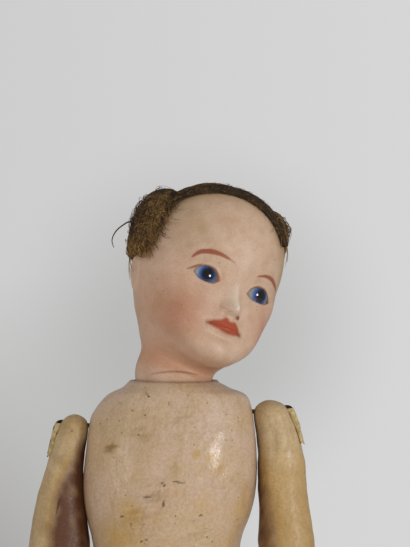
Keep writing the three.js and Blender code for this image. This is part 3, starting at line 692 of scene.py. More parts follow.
def eye_glass(iris):
    """Blown glass eye: white body, blue threaded iris and black pupil under clear glass."""
    material, tree, shader = new_material("blown_eye_glass")
    polar = add(tree, "Attribute", attribute_name="polar")["Fac"]
    around = add(tree, "Attribute", attribute_name="around")["Vector"]
    threads = add(tree, "TexNoise", {"Vector": around, "Scale": 9.0, "Detail": 3.0, "Roughness": 0.7})[0]
    bent = add(tree, "Math", {0: threads, 1: 0.12, 2: polar}, operation="MULTIPLY_ADD")[0]
    pale = tuple(0.45 * c + 0.22 for c in iris)
    stops = [
        (0.0, (0.006, 0.006, 0.007)),
        (0.34, (0.006, 0.006, 0.01)),
        (0.43, tuple(0.3 * c for c in iris)),
        (0.55, iris),
        (0.65, pale),
        (0.73, linear("#a9a79f")),
        (1.0, linear("#a89f92")),
    ]
    colour = add(tree, "ValToRGB", {0: bent}, stops)[0]
    fill(tree, shader, {"Base Color": colour, "Roughness": 0.08, "IOR": 1.52})
    return material


def varnished_paper_pulp(name, paint, aged, stain, gloss):
    """Papier-mache under flesh paint and yellowed varnish: soft gloss, brown runs and
    spots, pale worn places, small dents and pits, and a dark reddish side that is partly painted shade."""
    material, tree, shader = new_material(name)
    place = add(tree, "TexCoord")["Object"]
    broad, colour = patches(tree, paint, aged, place, 20, 6.0, 0.65, 0.38, 0.66)
    drawn = add(tree, "Mapping", {"Vector": place, "Scale": (1.0, 1.0, 0.3)})[0]
    _, colour = patches(tree, colour, stain, drawn, 6, 5.0, 0.7, 0.52, 0.74, 0.55)
    warm, colour = patches(tree, colour, linear("#cdb193"), place, 4, 5.0, 0.7, 0.46, 0.3, 0.5)
    # Dark reddish brown of the arms' inner side: bared ground and painted shade together
    layers = {"yellowed": linear("#b58c42"), "soil": linear("#80602a"), "bared_and_shaded": linear("#55290f")}
    amounts = {field: add(tree, "Attribute", attribute_name=field)["Fac"] for field in layers}
    for field, shade in layers.items():
        colour = add(tree, "Mix", {0: amounts[field], 6: colour, 7: shade}, data_type="RGBA")[2]
    # Pits, crowded where the paint is dirty, and the larger chips of the piece
    pit = dots(tree, place, 1.5, 2.2, 0.18, 0.7, broad)
    chip = add(tree, "Attribute", attribute_name="chips")["Fac"]
    chip = add(tree, "MapRange", {"Value": chip, "From Min": 0.02, "From Max": 0.2, "To Max": 0.85})[0]
    pit = add(tree, "Math", {0: pit, 1: chip}, operation="MAXIMUM")[0]
    colour = add(tree, "Mix", {0: pit, 6: colour, 7: linear("#50341c")}, data_type="RGBA")[2]
    pulp = add(tree, "TexNoise", {"Vector": place, "Scale": per_mm(0.9), "Detail": 3.0})[0]
    dusty = {"From Min": 0.3, "From Max": 0.7, "To Min": 0.87, "To Max": 1.09}
    dust = add(tree, "MapRange", {"Value": pulp, **dusty})[0]
    colour = add(tree, "Mix", {0: 1.0, 6: colour, 7: dust}, data_type="RGBA", blend_type="MULTIPLY")[2]
    height = add(tree, "Math", {0: warm, 1: 2.0, 2: pulp}, operation="MULTIPLY_ADD")[0]
    height = add(tree, "Math", {0: pit, 1: -1.5, 2: height}, operation="MULTIPLY_ADD")[0]
    bump = add(tree, "Bump", {"Height": height, "Strength": 0.45, "Distance": 0.3 * MM})[0]
    worn = {"From Min": 0.3, "From Max": 0.7, "To Min": 0.36, "To Max": 0.62}
    rough = add(tree, "MapRange", {"Value": warm, **worn})[0]
    waves = add(tree, "Bump", {"Height": warm, "Strength": 0.45, "Distance": 0.3 * MM})[0]
    # The dark inner side, bared ground and painted shade, keeps no varnish coat
    bare = {"From Max": 0.6, "To Min": gloss, "To Max": 0.0}
    coat = add(tree, "MapRange", {"Value": amounts["bared_and_shaded"], **bare})[0]
    fill(tree, shader, {
        "Base Color": colour, "Roughness": rough, "Normal": bump, "IOR": 1.5,
        "Coat Weight": coat, "Coat Roughness": 0.14, "Coat Normal": waves, "Coat IOR": 1.5,
    })
    return material


def matted_hair(dark, light):
    """Old mohair: dull brown fibres, each a little lighter or darker, dusty and matt."""
    material, tree, shader = new_material("matted_mohair")
    tone = add(tree, "Attribute", attribute_name="tone")["Fac"]
    place = add(tree, "TexCoord")["Object"]
    dust = add(tree, "TexNoise", {"Vector": place, "Scale": per_mm(2.5), "Detail": 3.0})[0]
    mixed = add(tree, "Math", {0: dust, 1: 0.5, 2: tone}, operation="MULTIPLY_ADD")[0]
    mixed = add(tree, "Math", {0: mixed, 1: -0.25}, operation="ADD", use_clamp=True)[0]
    stops = [(0.0, tuple(0.4 * c for c in dark)), (0.4, dark), (1.0, light)]
    colour = add(tree, "ValToRGB", {0: mixed}, stops)[0]
    fill(tree, shader, {"Base Color": colour, "Roughness": 0.7, "Specular IOR Level": 0.25})
    return material


def plain_surface(name, colour, other, grain, roughness, depth, metallic=0.0):
    """Two close sRGB colours in grains of a real size, with the same grains as relief."""
    material, tree, shader = new_material(name)
    place = add(tree, "TexCoord")["Object"]
    noise, mixed = patches(tree, linear(colour), linear(other), place, grain, 4.0, 0.6, 0.35, 0.68)
    bump = add(tree, "Bump", {"Height": noise, "Strength": 0.6, "Distance": depth * MM})[0]
    fill(tree, shader, {"Base Color": mixed, "Normal": bump, "Roughness": roughness, "Metallic": metallic})
    return material


def colour_setting(name, description, code):
    """Colour property with an sRGB hex value as its default."""
    return bpy.props.FloatVectorProperty(
        name=name, description=description, subtype="COLOR", size=3, default=linear(code))


class DollHeadSettings(bpy.types.PropertyGroup):
    """Colours of the painted head and its eyes."""

    skin: colour_setting("Skin", "Tint of the bisque", "#caab93")
    blush: colour_setting("Blush", "Paint on the cheeks", "#a4572f")
    brow: colour_setting("Brows", "Paint of the brows", "#8f4426")
    lip: colour_setting("Lips", "Paint of the lips", "#a2380c")
    iris: colour_setting("Iris", "Blue of the glass eyes", "#4d6ba6")


class DollWigSettings(bpy.types.PropertyGroup):
    """Hair that is left on the head."""

    dark: colour_setting("Dark hair", "Darker fibres", "#4b3a28")
    light: colour_setting("Light hair", "Lighter fibres", "#b88a4c")
    band_hairs: bpy.props.IntProperty(
        name="Hairs in the band", description="Number of hairs in the front band", default=2200, min=100)
    tuft_hairs: bpy.props.IntProperty(
        name="Hairs in the tuft", description="Number of hairs in the side tuft", default=3400, min=100)


class DollBodySettings(bpy.types.PropertyGroup):
    """Paint of the body and limbs."""

    body: colour_setting("Body", "Paint of the torso", "#c3a791")
    body_aged: colour_setting("Aged body", "Yellowed varnish on the torso", "#b99c76")
    limb: colour_setting("Limbs", "Paint of the arms and legs", "#c4a981")
    limb_aged: colour_setting("Aged limbs", "Yellowed varnish on the limbs", "#aa8c5e")


class DollStageSettings(bpy.types.PropertyGroup):
    """Light and background."""

    paper: colour_setting("Background", "Pale grey of the background", "#d6d6d6")
    lamp: bpy.props.FloatProperty(
        name="Lamps", description="Power of the stronger side lamp", default=3.4, min=0.0, unit="POWER")


SETTINGS = {
    "doll_head": DollHeadSettings,
    "doll_wig": DollWigSettings,
    "doll_body": DollBodySettings,
    "doll_stage": DollStageSettings,
}


def head_points(place, angle):
    """Outline of the head with the face's swellings added towards the front."""
    grid = sections(HEAD_LEVELS, place, angle)
    forward = np.sqrt(np.clip(np.cos(angle), 0, 1))
    x, z = grid[..., 0], grid[..., 2]
    rise = np.zeros(x.shape)
    for swell, across, height, wide, tall in FACE_RELIEF:
        rise += swell * bell(np.abs(x), across, wide) * bell(z, height, tall)
    grid[..., 1] -= forward * rise
    return grid


def opening_distance(x, z, side):
    """Distance from the almond edge of an eye opening, negative inside it."""
    across, up = OPENING_MIDDLE[side]
    share = np.linspace(-1, 1, 40)
    top = up + OPENING_TOP[side] * (1 - np.abs(share) ** 2.6)
    foot = up - OPENING_FOOT[side] * (1 - np.abs(share) ** 3)
    aside = OPENING_HALF_WIDTH[side] * share
    tilt = (2 * side - 1) * OPENING_LEAN * aside
    edge_x = across + aside
    outline = list(zip(edge_x, top + tilt)) + list(zip(edge_x[-2:0:-1], (foot + tilt)[-2:0:-1]))
    return outline_distance(x, z, outline)


def head_tints(grid, front):
    """Soft paint, dirt, painted shade and a painted highlight on the head, from bell curves round their
    places.
    """
    x, y, z = np.moveaxis(grid, -1, 0)
    # Painted shade: dark line round the neck's foot at its gap to the torso
    crease = curve_through(NECK_GAP_SHADE, 60)
    thick = 0.35 * np.sin(np.linspace(0.2, np.pi - 0.2, 60))
    low = (z < 6) & (y < 0)
    neck_gap_shade = np.full(x.shape, FAR)
    neck_gap_shade[low] = (np.linalg.norm(grid[low][:, None] - crease, axis=-1) - thick).min(1)
    # Painted highlight on the tip and ridge of the nose
    nose_highlight = 0.75 * bell(x, 0.4, 2.4) * bell(z, 28, 2.8) + 0.4 * bell(x, -0.6, 2.2) * bell(z, 32.5, 3)
    wig_stain = 0.6 * bell(wig_depth(grid), 1.0, 5.5) * smooth_step(z, 25, 45)
    # Painted shade under the chin, on the jaw's side and in the right eye's inner corner
    under_chin = 0.5 * smooth_step(-z, -11, -3) * smooth_step(z, -6, 2)
    jaw = 0.45 * bell(distance(grid, JAW_SHADE), 0, 16)
    corner = 0.5 * bell(distance(grid[..., ::2], EYE_CORNER) + FAR * ~front, 0, 1.5)
    return {
        "neck_gap_shade": neck_gap_shade,
        "nose_highlight": front * nose_highlight,
        "blush": spots(grid, CHEEKS),
        "yellowing": np.clip(wig_stain + spots(grid, HEAD_SMUDGES), 0, 0.85),
        "shade": np.clip(under_chin + jaw + corner, 0, 0.8),
    }


def head_form():
    """Rings of the whole head: the ball of the neck, then the outline, with the eye
    openings sunk behind the glass and the fine modelling of lids, nose and mouth."""
    turns = circle(HEAD_AROUND)
    angle = turns - 0.6 * np.sin(turns)
    place = spread(lambda t: 1 + 1.7 * bell(t, 6.9, 0.6) + 0.9 * bell(t, 5.2, 0.6), 0, CROWN, HEAD_RINGS)
    polar = np.linspace(np.pi, np.pi / 2, NECK_RINGS, endpoint=False)[1:, None]
    grid = np.concatenate([sphere(NECK_BALL, polar, angle), head_points(place, angle)])
    x, y, z = np.moveaxis(grid, -1, 0)
    front = (y < -8) & (z > 5)
    sink = np.zeros(x.shape)
    lids = np.full(x.shape, FAR)
    for side, (_, up) in enumerate(OPENING_MIDDLE):
        gap = np.where(front, opening_distance(x, z, side), FAR)
        above = smooth_step(z, up, up + 2)
        sink += EYE_SINK * smooth_step(-gap, -0.05, 0.4)
        sink -= 0.14 * bell(gap, 0.5, 0.5) * (gap > -0.2)
        sink += 0.1 * bell(gap, 1.6, 0.45) * above
        lids = np.minimum(lids, np.abs(gap - 0.15) - LID_LINE * (0.35 + 0.65 * above))
    for swell, across, height, wide, tall in FINE_RELIEF:
        sink -= np.where(front, swell * bell(np.abs(x), across, wide) * bell(z, height, tall), 0)
    strokes = {
        "brow": np.minimum(*(stroke_distance(x, z, line) for line in BROWS)),
        "lid_line": np.minimum(lids, stroke_distance(x, z, LID_TAIL)),
        "lips": outline_distance(x, z, LIP_OUTLINE),
        "lip_parting": stroke_distance(x, z, LIP_PARTING),
        "nostril": np.hypot(x - NOSTRIL[0], (z - NOSTRIL[1]) * 1.2) - 1.0,
        # Painted shade under the wing of the nose
        "wing": stroke_distance(x, z, NOSE_WING_SHADE),
    }
    fields = {field: np.where(front, edge, FAR) for field, edge in strokes.items()}
    fields.update(head_tints(grid, front))
    sink += 0.4 * bell(fields["lip_parting"], 0, 0.45)
    sink -= 0.18 * smooth_step(-fields["lips"], -0.3, 0.5)
    grid[..., 1] += sink
    ear = ear_relief(y, z) * (np.abs(x) > 15)
    grid += ear[..., None] * ring_normals(grid)
    return grid, fields


def ear_relief(y, z):
    """Low moulded ear: a raised rim round a hollow, highest at its back edge."""
    radius = np.hypot((y - 5.5) / 4.2, (z - 30) / 6.0)
    rim = 0.9 * bell(radius, 0.85, 0.26) * smooth_step(y, -1.5, 5)
    return rim + 0.4 * bell(radius, 0, 0.8) * smooth_step(y, 0, 4)


def wig_depth(points):
    """How far points lie behind the plane of the wig's front edge."""
    lean, skew = np.radians(WIG_LEAN), np.radians(WIG_SKEW)
    back = np.array([np.sin(skew) * np.cos(lean), np.cos(skew) * np.cos(lean), np.sin(lean)])
    return (points - WIG_EDGE) @ back


class DOLL_OT_head(bpy.types.Operator):
    """Painted bisque head"""

    bl_idname = "doll.head"
    bl_label = "Bisque head"

    def execute(self, context):
        colours = context.scene.doll_head
        grid, fields = head_form()
        paint = fired_bisque(colours.skin, colours.blush, colours.brow, colours.lip)
        piece = skin_piece("bisque_head", on_head(grid), paint, fields)
        settle(piece, "head", "bisque", "head_shell")
        return {"FINISHED"}


class DOLL_OT_eyes(bpy.types.Operator):
    """Two blown glass eyes"""

    bl_idname = "doll.eyes"
    bl_label = "Glass eyes"

    def execute(self, context):
        glass = eye_glass(context.scene.doll_head.iris)
        polar = np.radians(np.linspace(1.5, 178.5, EYE_RINGS))[:, None]
        around = circle(EYE_AROUND)[None]
        for side, name in ((0, "right"), (1, "left")):
            yaw, pitch = EYE_LOOK[side]
            # Pole of the ball looks out of the head: turned down from +z to -y, then aimed
            aim = turn("z", yaw) @ turn("x", -pitch) @ turn("x", 90)
            grid = sphere(EYE_RADIUS, polar, around + np.pi / 2)[::-1] @ aim.T + EYE_PLACES[side]
            threads = np.broadcast_arrays(np.cos(around), np.sin(around), 0.15 * polar)
            fields = {
                "polar": (polar / np.radians(60) + 0 * around)[::-1],
                "around": np.stack(threads, -1)[::-1],
            }
            piece = skin_piece(name + "_glass_eye", on_head(grid), glass, fields)
            settle(piece, "head", "eye_glass", name + "_eye")
        return {"FINISHED"}


def scalp(place, angle, lift):
    """Points at a height above the plain head, place by place and angle by angle."""
    place, angle, lift = np.broadcast_arrays(place, angle, lift)
    columns = rows_at(HEAD_LEVELS, place.ravel()).T.reshape(6, *place.shape)
    point, side, reach = ring_points(columns, angle)
    upwards = (point[..., 2] - SKULL_MIDDLE) / SKULL_HALF_HEIGHT ** 2
    out = unit(np.stack([np.sin(angle) / side.clip(4), -np.cos(angle) / reach.clip(4), upwards], -1))
    return point + lift[..., None] * out, out


def edge_places(angle, depth):
    """Place on the head at each angle where the scalp comes to a depth behind the wig's edge."""
    place = np.linspace(4, 12.6, 400)
    value = wig_depth(sections(HEAD_LEVELS, place, angle)) - depth
    crossing = (value[:-1] < 0) & (value[1:] >= 0)
    return np.where(crossing.any(0), place[crossing.argmax(0)], np.nan)


def cap_foot(angle):
    """Lowest place of the cap at each angle: behind its edge and above the sloping nape line."""
    place = np.linspace(3, 12.9, 600)
    grid = sections(HEAD_LEVELS, place, angle)
    slope = np.radians(NAPE_SLOPE)
    above = (grid - NAPE) @ np.array([0, np.sin(slope), np.cos(slope)])
    bare = (above < 0) | (wig_depth(grid) < CAP_EDGE)
    last = len(place) - 1 - bare[::-1].argmax(0)
    return place[last]


def tuft_height(tuft, place, angle):
    """Height of a tuft above the scalp: a lens, thicker towards its top."""
    up = (place - tuft["place"]) / tuft["half_place"]
    aside = (np.degrees(angle) - tuft["angle"]) / tuft["half_angle"]
    dome = np.sqrt(np.clip(1 - up * up - aside * aside, 0, 1))
    return 0.8 + tuft["thick"] * dome * (1 + tuft["skew"] * up), dome


def along_path(values, at):
    """Rows of a path read between its steps."""
    steps = np.arange(len(values))
    return np.stack([np.interp(at, steps, column) for column in values.T], -1)


class DOLL_OT_wig(bpy.types.Operator):
    """Cloth cap, matted front band, tufts and a loose thread"""

    bl_idname = "doll.wig"
    bl_label = "Wig remains"

    def execute(self, context):
        colours = context.scene.doll_wig
        hair = matted_hair(colours.dark, colours.light)
        cloth = plain_surface("wig_cap_gauze", "#5a4830", "#3a2c1c", 0.8, 0.95, 0.3)
        rng = np.random.default_rng(7)
        self.cap(cloth)
        self.band(hair, rng, colours.band_hairs)
        self.tuft("right", RIGHT_TUFT, hair, rng, colours.tuft_hairs, 0.56)
        self.tuft("left", LEFT_TUFT, hair, rng, colours.tuft_hairs // 4, 0.6)
        self.cap_hairs(hair, rng)
        self.thread(hair)
        return {"FINISHED"}

    def cap(self, cloth):
        """Cap: the scalp lifted by the cloth's two sides, from its lower edge to the crown."""
        angle = circle(CAP_AROUND)
        foot = cap_foot(angle)
        share = np.linspace(0, 1, CAP_RINGS)[:, None]
        place = foot + (CAP_CROWN - foot) * share
        under, _ = scalp(place, angle, CAP_UNDER)
        lump = 0.22 * ripple(under, 5, 3) + 0.12 * ripple(under, 1.6, 4)
        over, _ = scalp(place, angle, CAP_OVER + lump)
        piece = skin_piece("wig_cap_cloth", on_head(np.concatenate([under[::-1], over])), cloth)
        settle(piece, "head", "wig_cloth", "wig_cap")

    def band(self, hair, rng, count):
        """Band: a lumpy roll of felted hair along the wig's edge, with hairs laid along it."""
        angle = np.radians(np.linspace(-96, 96, 260))
        place = edge_places(angle, BAND_HALF_WIDTH - BAND_LIFT)
        found = np.isfinite(place)
        middle, out = scalp(place[found], angle[found], np.full(found.sum(), BAND_LIFT))
        keep = middle[:, 2] > np.where(middle[:, 0] > 0, BAND_END, BAND_END - 8)
        middle, out = middle[keep], out[keep]
        ahead = np.gradient(middle, axis=0)
        spacing = np.linalg.norm(ahead, axis=1).mean()
        aside = np.cross(unit(ahead), out)
        sides = (2 * np.pi * np.arange(30) / 30)[:, None]
        ring = BAND_HALF_WIDTH * np.cos(sides) * aside[:, None] + np.sin(sides) * out[:, None]
        plain = middle[:, None] + ring
        lump = 1 + 0.1 * ripple(plain, 2.4, 5) + 0.08 * ripple(plain, 0.8, 6)
        ends = np.sin(np.pi * np.linspace(0.02, 0.98, len(middle))) ** 0.2
        grid = middle[:, None] + ring * (lump * ends[:, None])[..., None]
        tone = 0.12 + 0.12 * ripple(grid, 1.2, 8)
        roll = skin_piece("wig_band_felt", on_head(grid), hair, {"tone": tone})
        settle(roll, "head", "hair", "wig_band")
        # Hairs keep to the roll, and a few short ones stand off it as fuzz
        fuzz = count // 8
        total = count + fuzz
        step = np.linspace(0, 1, 8)
        length = np.concatenate([rng.uniform(3, 9, count), rng.uniform(0.8, 2.6, fuzz)]) / spacing
        start = rng.uniform(1, len(middle) - 2, total)
        at = start[:, None] + (length * rng.choice([-1, 1], total))[:, None] * step
        at = np.clip(at, 0, len(middle) - 1)
        around = rng.uniform(0.02, 0.98, total)[:, None] * np.pi
        around = around + rng.normal(0, 0.5, total)[:, None] * step
        crimp = rng.uniform(0.05, 0.3, total)[:, None]
        around = around + crimp * np.sin(9 * step + rng.uniform(0, 6, total)[:, None])
        swell = rng.uniform(0.98, 1.12, total)[:, None] + 0 * step
        swell[count:] += step * rng.uniform(0.1, 0.9, fuzz)[:, None]
        cross = BAND_HALF_WIDTH * np.cos(around)[..., None] * along_path(aside, at)
        cross = cross + np.sin(around)[..., None] * along_path(out, at)
        paths = along_path(middle, at) + swell[..., None] * cross
        tones = np.concatenate([rng.normal(0.14, 0.13, count), rng.normal(0.5, 0.15, fuzz)])
        radius = np.concatenate([rng.uniform(0.08, 0.15, count), rng.uniform(0.04, 0.07, fuzz)])
        hairs = strand_piece("wig_band_hairs", on_head(paths), radius, hair, np.clip(tones, 0, 1))
        settle(hairs, "head", "hair")

    def tuft(self, name, tuft, hair, rng, count, bright):
        """Tuft: a felted lens on the scalp and hairs that curl over it, mostly downwards."""
        around = circle(120)
        share = np.concatenate([np.linspace(0.03, 1, 12), np.linspace(1, 0.02, 40)])[:, None]
        place = tuft["place"] + tuft["half_place"] * share * np.sin(around)
        angle = np.radians(tuft["angle"] + tuft["half_angle"] * share * np.cos(around))
        height, dome = tuft_height(tuft, place, angle)
        base, _ = scalp(place, angle, 0.0)
        height = height + dome * (0.35 * ripple(base, 2.6, 11) + 0.2 * ripple(base, 0.9, 12))
        height[:12] = 0.6
        grid, _ = scalp(place, angle, height)
        tone = 0.16 + 0.14 * ripple(grid, 1.6, 13)
        felt = skin_piece(name + "_tuft_felt", on_head(grid), hair, {"tone": tone})
        settle(felt, "head", "hair", name + "_hair_tuft")
        step = np.linspace(0, 1, 10)
        share = 0.98 * np.sqrt(rng.uniform(0, 1, count))
        around = rng.uniform(0, 2 * np.pi, count)
        heading = rng.normal(-np.pi / 2, 0.8, count)[:, None]
        length = rng.uniform(3, 10, count)[:, None] * step
        curl = rng.uniform(0.2, 1.1, count)[:, None]
        swing = 2 * np.pi * rng.uniform(0.4, 1.8, count)[:, None] * step
        swing = swing + rng.uniform(0, 6, count)[:, None]
        up = length * np.sin(heading) + curl * np.sin(swing)
        aside = length * np.cos(heading) + curl * np.cos(swing)
        place = (tuft["place"] + tuft["half_place"] * share * np.sin(around))[:, None] + up / SKULL_ROW
        angle = np.radians(tuft["angle"] + tuft["half_angle"] * share * np.cos(around))[:, None]
        angle = angle + aside / SKULL_REACH
        height, _ = tuft_height(tuft, place, angle)
        loose = np.where(rng.uniform(size=count) < 0.05, rng.uniform(0.8, 2.4, count), 0.35)
        height = height + 0.15 + loose[:, None] * np.sin(np.pi * step) * rng.uniform(0.2, 1, count)[:, None]
        paths, _ = scalp(place.clip(4, 12.9), angle, height)
        tones = rng.normal(bright, 0.17, count) - 0.45 * bell(share, 0, 0.4)
        tones = tones + 0.18 * ripple(paths[:, 0], 2.4, 17) - 0.2 * share * np.sin(around)
        tones = np.clip(tones, 0, 1)
        thick = rng.uniform(0.06, 0.13, count)
        # Only a few hang below the tuft's foot
        keep = place.min(1) > tuft["place"] - tuft["half_place"] + 0.05
        keep |= rng.uniform(size=count) < 0.03
        hairs = strand_piece(name + "_tuft_hairs", on_head(paths[keep]), thick[keep], hair, tones[keep])
        settle(hairs, "head", "hair")

    def cap_hairs(self, hair, rng):
        """Thin hairs still glued to the cap, combed down from the crown."""
        count = CAP_HAIRS
        step = np.linspace(0, 1, 9)
        angle = rng.uniform(0, 2 * np.pi, count)[:, None]
        place = rng.uniform(7.2, 12.6, count)[:, None] - rng.uniform(0.4, 1.4, count)[:, None] * step
        wave = 0.03 * np.sin(9 * step + rng.uniform(0, 6, count)[:, None])
        angle = angle + rng.normal(0, 0.16, count)[:, None] * step + wave
        keep = place.min(1) > cap_foot(angle.mean(1)) + 0.2
        lift = 1.2 + 0.5 * np.sin(np.pi * step) * rng.uniform(0, 1, count)[:, None]
        paths, _ = scalp(place[keep], angle[keep], lift[keep])
        tones = np.clip(rng.normal(0.35, 0.22, len(paths)), 0, 1)
        thick = rng.uniform(0.06, 0.12, len(paths))
        hairs = strand_piece("wig_cap_hairs", on_head(paths), thick, hair, tones)
        settle(hairs, "head", "hair")

    def thread(self, hair):
        """One loose thread that loops out from the tuft on the doll's right."""
        path = curve_through(THREAD_ROUTE, 60)
        radius = np.interp(np.linspace(0, 1, 60), [0, 0.5, 1], [0.3, 0.24, 0.12])
        rings = tube_rings(path, radius, 8)
        tone = np.full(rings.shape[:2], 0.4)
        piece = skin_piece("loose_wig_thread", on_head(rings), hair, {"tone": tone})
        settle(piece, "head", "hair")


def seat_of(side, kind):
    """Seat of a shoulder or hip in the body's own frame, and its axis turned outwards."""
    joint = dict(SIDES)[side] + "_" + kind
    axis = np.array(JOINTS[joint]["axis"])
    return joint_place(joint) - MIDDLE, axis * (side * np.sign(axis[0]))


class DOLL_OT_torso(bpy.types.Operator):
    """Torso with neck cup, shoulder seats and slanting hip seats"""

    bl_idname = "doll.torso"
    bl_label = "Torso"

    def execute(self, context):
        colours = context.scene.doll_body
        paint = varnished_paper_pulp(
            "varnished_body", colours.body, colours.body_aged, linear("#9c783c"), 0.32)
        angle = circle(TORSO_AROUND)
        rows = limb_rows(TORSO_LEVELS)
        outer = sections(rows, np.linspace(0.12, 13, TORSO_RINGS), angle)
        lumps = 0.14 * ripple(outer, 14, 31) + 0.05 * ripple(outer, 4, 32)
        outer = outer + ring_normals(outer) * lumps[..., None]
        inner = sections(rows, np.linspace(12.4, 0.8, TORSO_INNER_RINGS), angle)
        inner = inner + TORSO_WALL * ring_normals(inner)
        for side, _ in SIDES:
            for kind, gap in (("shoulder", 0.0), ("hip", HIP_GAP)):
                seat, axis = seat_of(side, kind)
                outer = push_behind(outer, seat - gap * axis, axis, 0.5)
                inner = push_behind(inner, seat - TORSO_WALL * axis, axis, 0.5)
        # Neck cup: over the rim and down inside a ball-shaped hollow
        polar = np.radians(np.concatenate([[98.2, 99.5], np.linspace(101, 143, CUP_RINGS)]))[:, None]
        radius = CUP_RADIUS + np.concatenate([[0.6, 0.1], np.zeros(CUP_RINGS)])[:, None]
        cup = NECK_FROM_MIDDLE + sphere(radius, polar, angle)
        cup[0, :, 2] = CUP_RIM
        grid = np.concatenate([outer, cup, inner])
        x, y, z = np.moveaxis(grid, -1, 0)
        seam = bell(np.abs(y), 0, 0.5) * (np.abs(x) > 8) * (z < 201)
        soil = 0.2 * smooth_step(z, 130, 96) + 0.12 * bell(z, 203, 2.2) + 0.45 * seam
        soil += 0.2 * smooth_step(ripple(grid, 9, 41), 1.1, 2.0)
        front = y < 0
        spilt = spots(grid[..., ::2], TORSO_STAINS)
        soil += spilt * front * np.clip(0.6 + ripple(grid, 1.4, 43), 0, 2.2)
        gold = spots(grid[..., ::2], TORSO_YELLOWED) * front
        gold = gold + 0.2 * smooth_step(z, 188, 160) * (1 + 0.4 * ripple(grid, 7, 47))
        chips = np.max([-stroke_distance(x, z, line) for line in TORSO_CHIPS], 0)
        fields = {
            "soil": np.clip(soil, 0, 0.8),
            "yellowed": np.clip(gold, 0, 0.8),
            "chips": np.where(front, chips, 0).clip(0),
        }
        piece = skin_piece("papier_mache_torso", grid + MIDDLE, paint, fields)
        settle(piece, "torso", "body_papier_mache", "torso_front", "torso_back")
        return {"FINISHED"}


def arm_width(side, z):
    """Width of an upper arm against the outline."""
    return 1 + ARM_WAYS[side]["width"] * smooth_step(z, -36, -9)


def arm_outside(side, z):
    """How far the arm's outer side lies from its flat inner face at a height."""
    rows = rows_at(limb_rows(ARM_LEVELS), np.linspace(0, 14, 700))
    return np.interp(z, rows[:, 2], rows[:, 3] + rows[:, 6]) * arm_width(side, z)


class DOLL_OT_arms(bpy.types.Operator):
    """One-piece arms with mitten hands"""

    bl_idname = "doll.arms"
    bl_label = "Arms"

    def execute(self, context):
        colours = context.scene.doll_body
        paint = varnished_paper_pulp(
            "varnished_limb", colours.limb, colours.limb_aged, linear("#80602f"), 0.07)
        for side, name in SIDES:
            piece = skin_piece(name + "_papier_mache_arm", *self.form(side, name, paint))
            settle(piece, "arm_" + name, "limb_papier_mache", name + "_arm")
        return {"FINISHED"}

    def form(self, side, name, paint):
        """Arm rings from the fingertips to the shoulder, flattened against the body's seat,
        with grooves between the fingers."""
        ways = ARM_WAYS[side]
        angle = circle(LIMB_AROUND)
        grid = sections(limb_rows(ARM_LEVELS), np.linspace(0.1, 13.9, ARM_RINGS), angle)
        grid[..., 0] *= arm_width(side, grid[..., 2])
        y, z = grid[..., 1], grid[..., 2]
        groove = sum(bell(y, place, 0.42) for place in FINGER_GROOVES)
        depth = 0.7 * groove * smooth_step(z, -88.5, -91.5)
        depth = depth + 0.5 * bell(z, -79, 1.5) * smooth_step(-y, -1, 6)
        depth = depth - 0.16 * ripple(grid, 9, 51 + side) - 0.06 * ripple(grid, 3, 52 + side)
        if side < 0:
            crack = np.where(y < 0, stroke_distance(grid[..., 0], z, ARM_CRACK), FAR)
            lump = distance(grid, ARM_LUMP)
            depth = depth + 0.45 * smooth_step(-crack, -0.25, 0.15) - 1.0 * bell(lump, 0, 1.3)
        grid = grid - ring_normals(grid) * depth[..., None]
        if side > 0:
            # The left arm stands further off the body above and below the elbow
            off = 2.2 * smooth_step(grid[..., 2], -18, -40) * smooth_step(grid[..., 2], -84, -66)
            grid[..., 0] += off * smooth_step(grid[..., 0], 6, -5)
        # Only the shoulder is flattened; lower down the arm follows the body's side
        flat = push_behind(grid, np.array([0.1, 0, 0]), np.array([-1.0, 0, 0]), 0.25)
        grid = grid + (flat - grid) * smooth_step(grid[..., 2], -19, -12)[..., None]
        x, y, z = np.moveaxis(grid, -1, 0)
        soil = 0.12 * smooth_step(z, -4, 4) + 0.3 * smooth_step(z, -70, -96)
        soil = soil + 0.25 * smooth_step(ripple(grid, 8, 61 + side), 0.9, 1.8) + 0.25 * np.clip(depth, 0, 1)
        soil = soil + ways["soil"] * smooth_step(z, -12, -36)
        # The side towards the body is dark reddish, its bared ground and painted shade between arm and body,
        # wider low down on the right arm
        border = 2.0 + 6.5 * smooth_step(z, -4, -26) if side < 0 else 2.6 * smooth_step(z, -6, -38)
        inner = smooth_step(x - border, 3, -4) * smooth_step(z, 2, -9) * smooth_step(z, -76, -52)
        age = ways["high"] * smooth_step(z, -9, 1) + ways["low"] * smooth_step(z, -8, -26)
        glow = ways["glow"] * bell(x, border + 1.2, 1.9) * smooth_step(z, -6, -15)
        fields = {
            "soil": np.clip(soil, 0, 0.8),
            "bared_and_shaded": np.clip(inner * (ways["ground"] + 0.2 * ripple(grid, 5, 65)), 0, 0.95),
            "yellowed": np.clip(0.45 * glow + age, 0, 0.8),
        }
        if side < 0:
            fields["chips"] = np.where(y < 0, -stroke_distance(x, z, ARM_CRACK), 0).clip(0)
            fields["soil"] = np.clip(fields["soil"] + 0.7 * bell(lump, 0, 1.6), 0, 0.8)
            grid = grid * [-1, 1, 1]
        lean = turn("y", -ARM_LEAN * side)
        return grid @ lean.T + joint_place(name + "_shoulder"), paint, fields


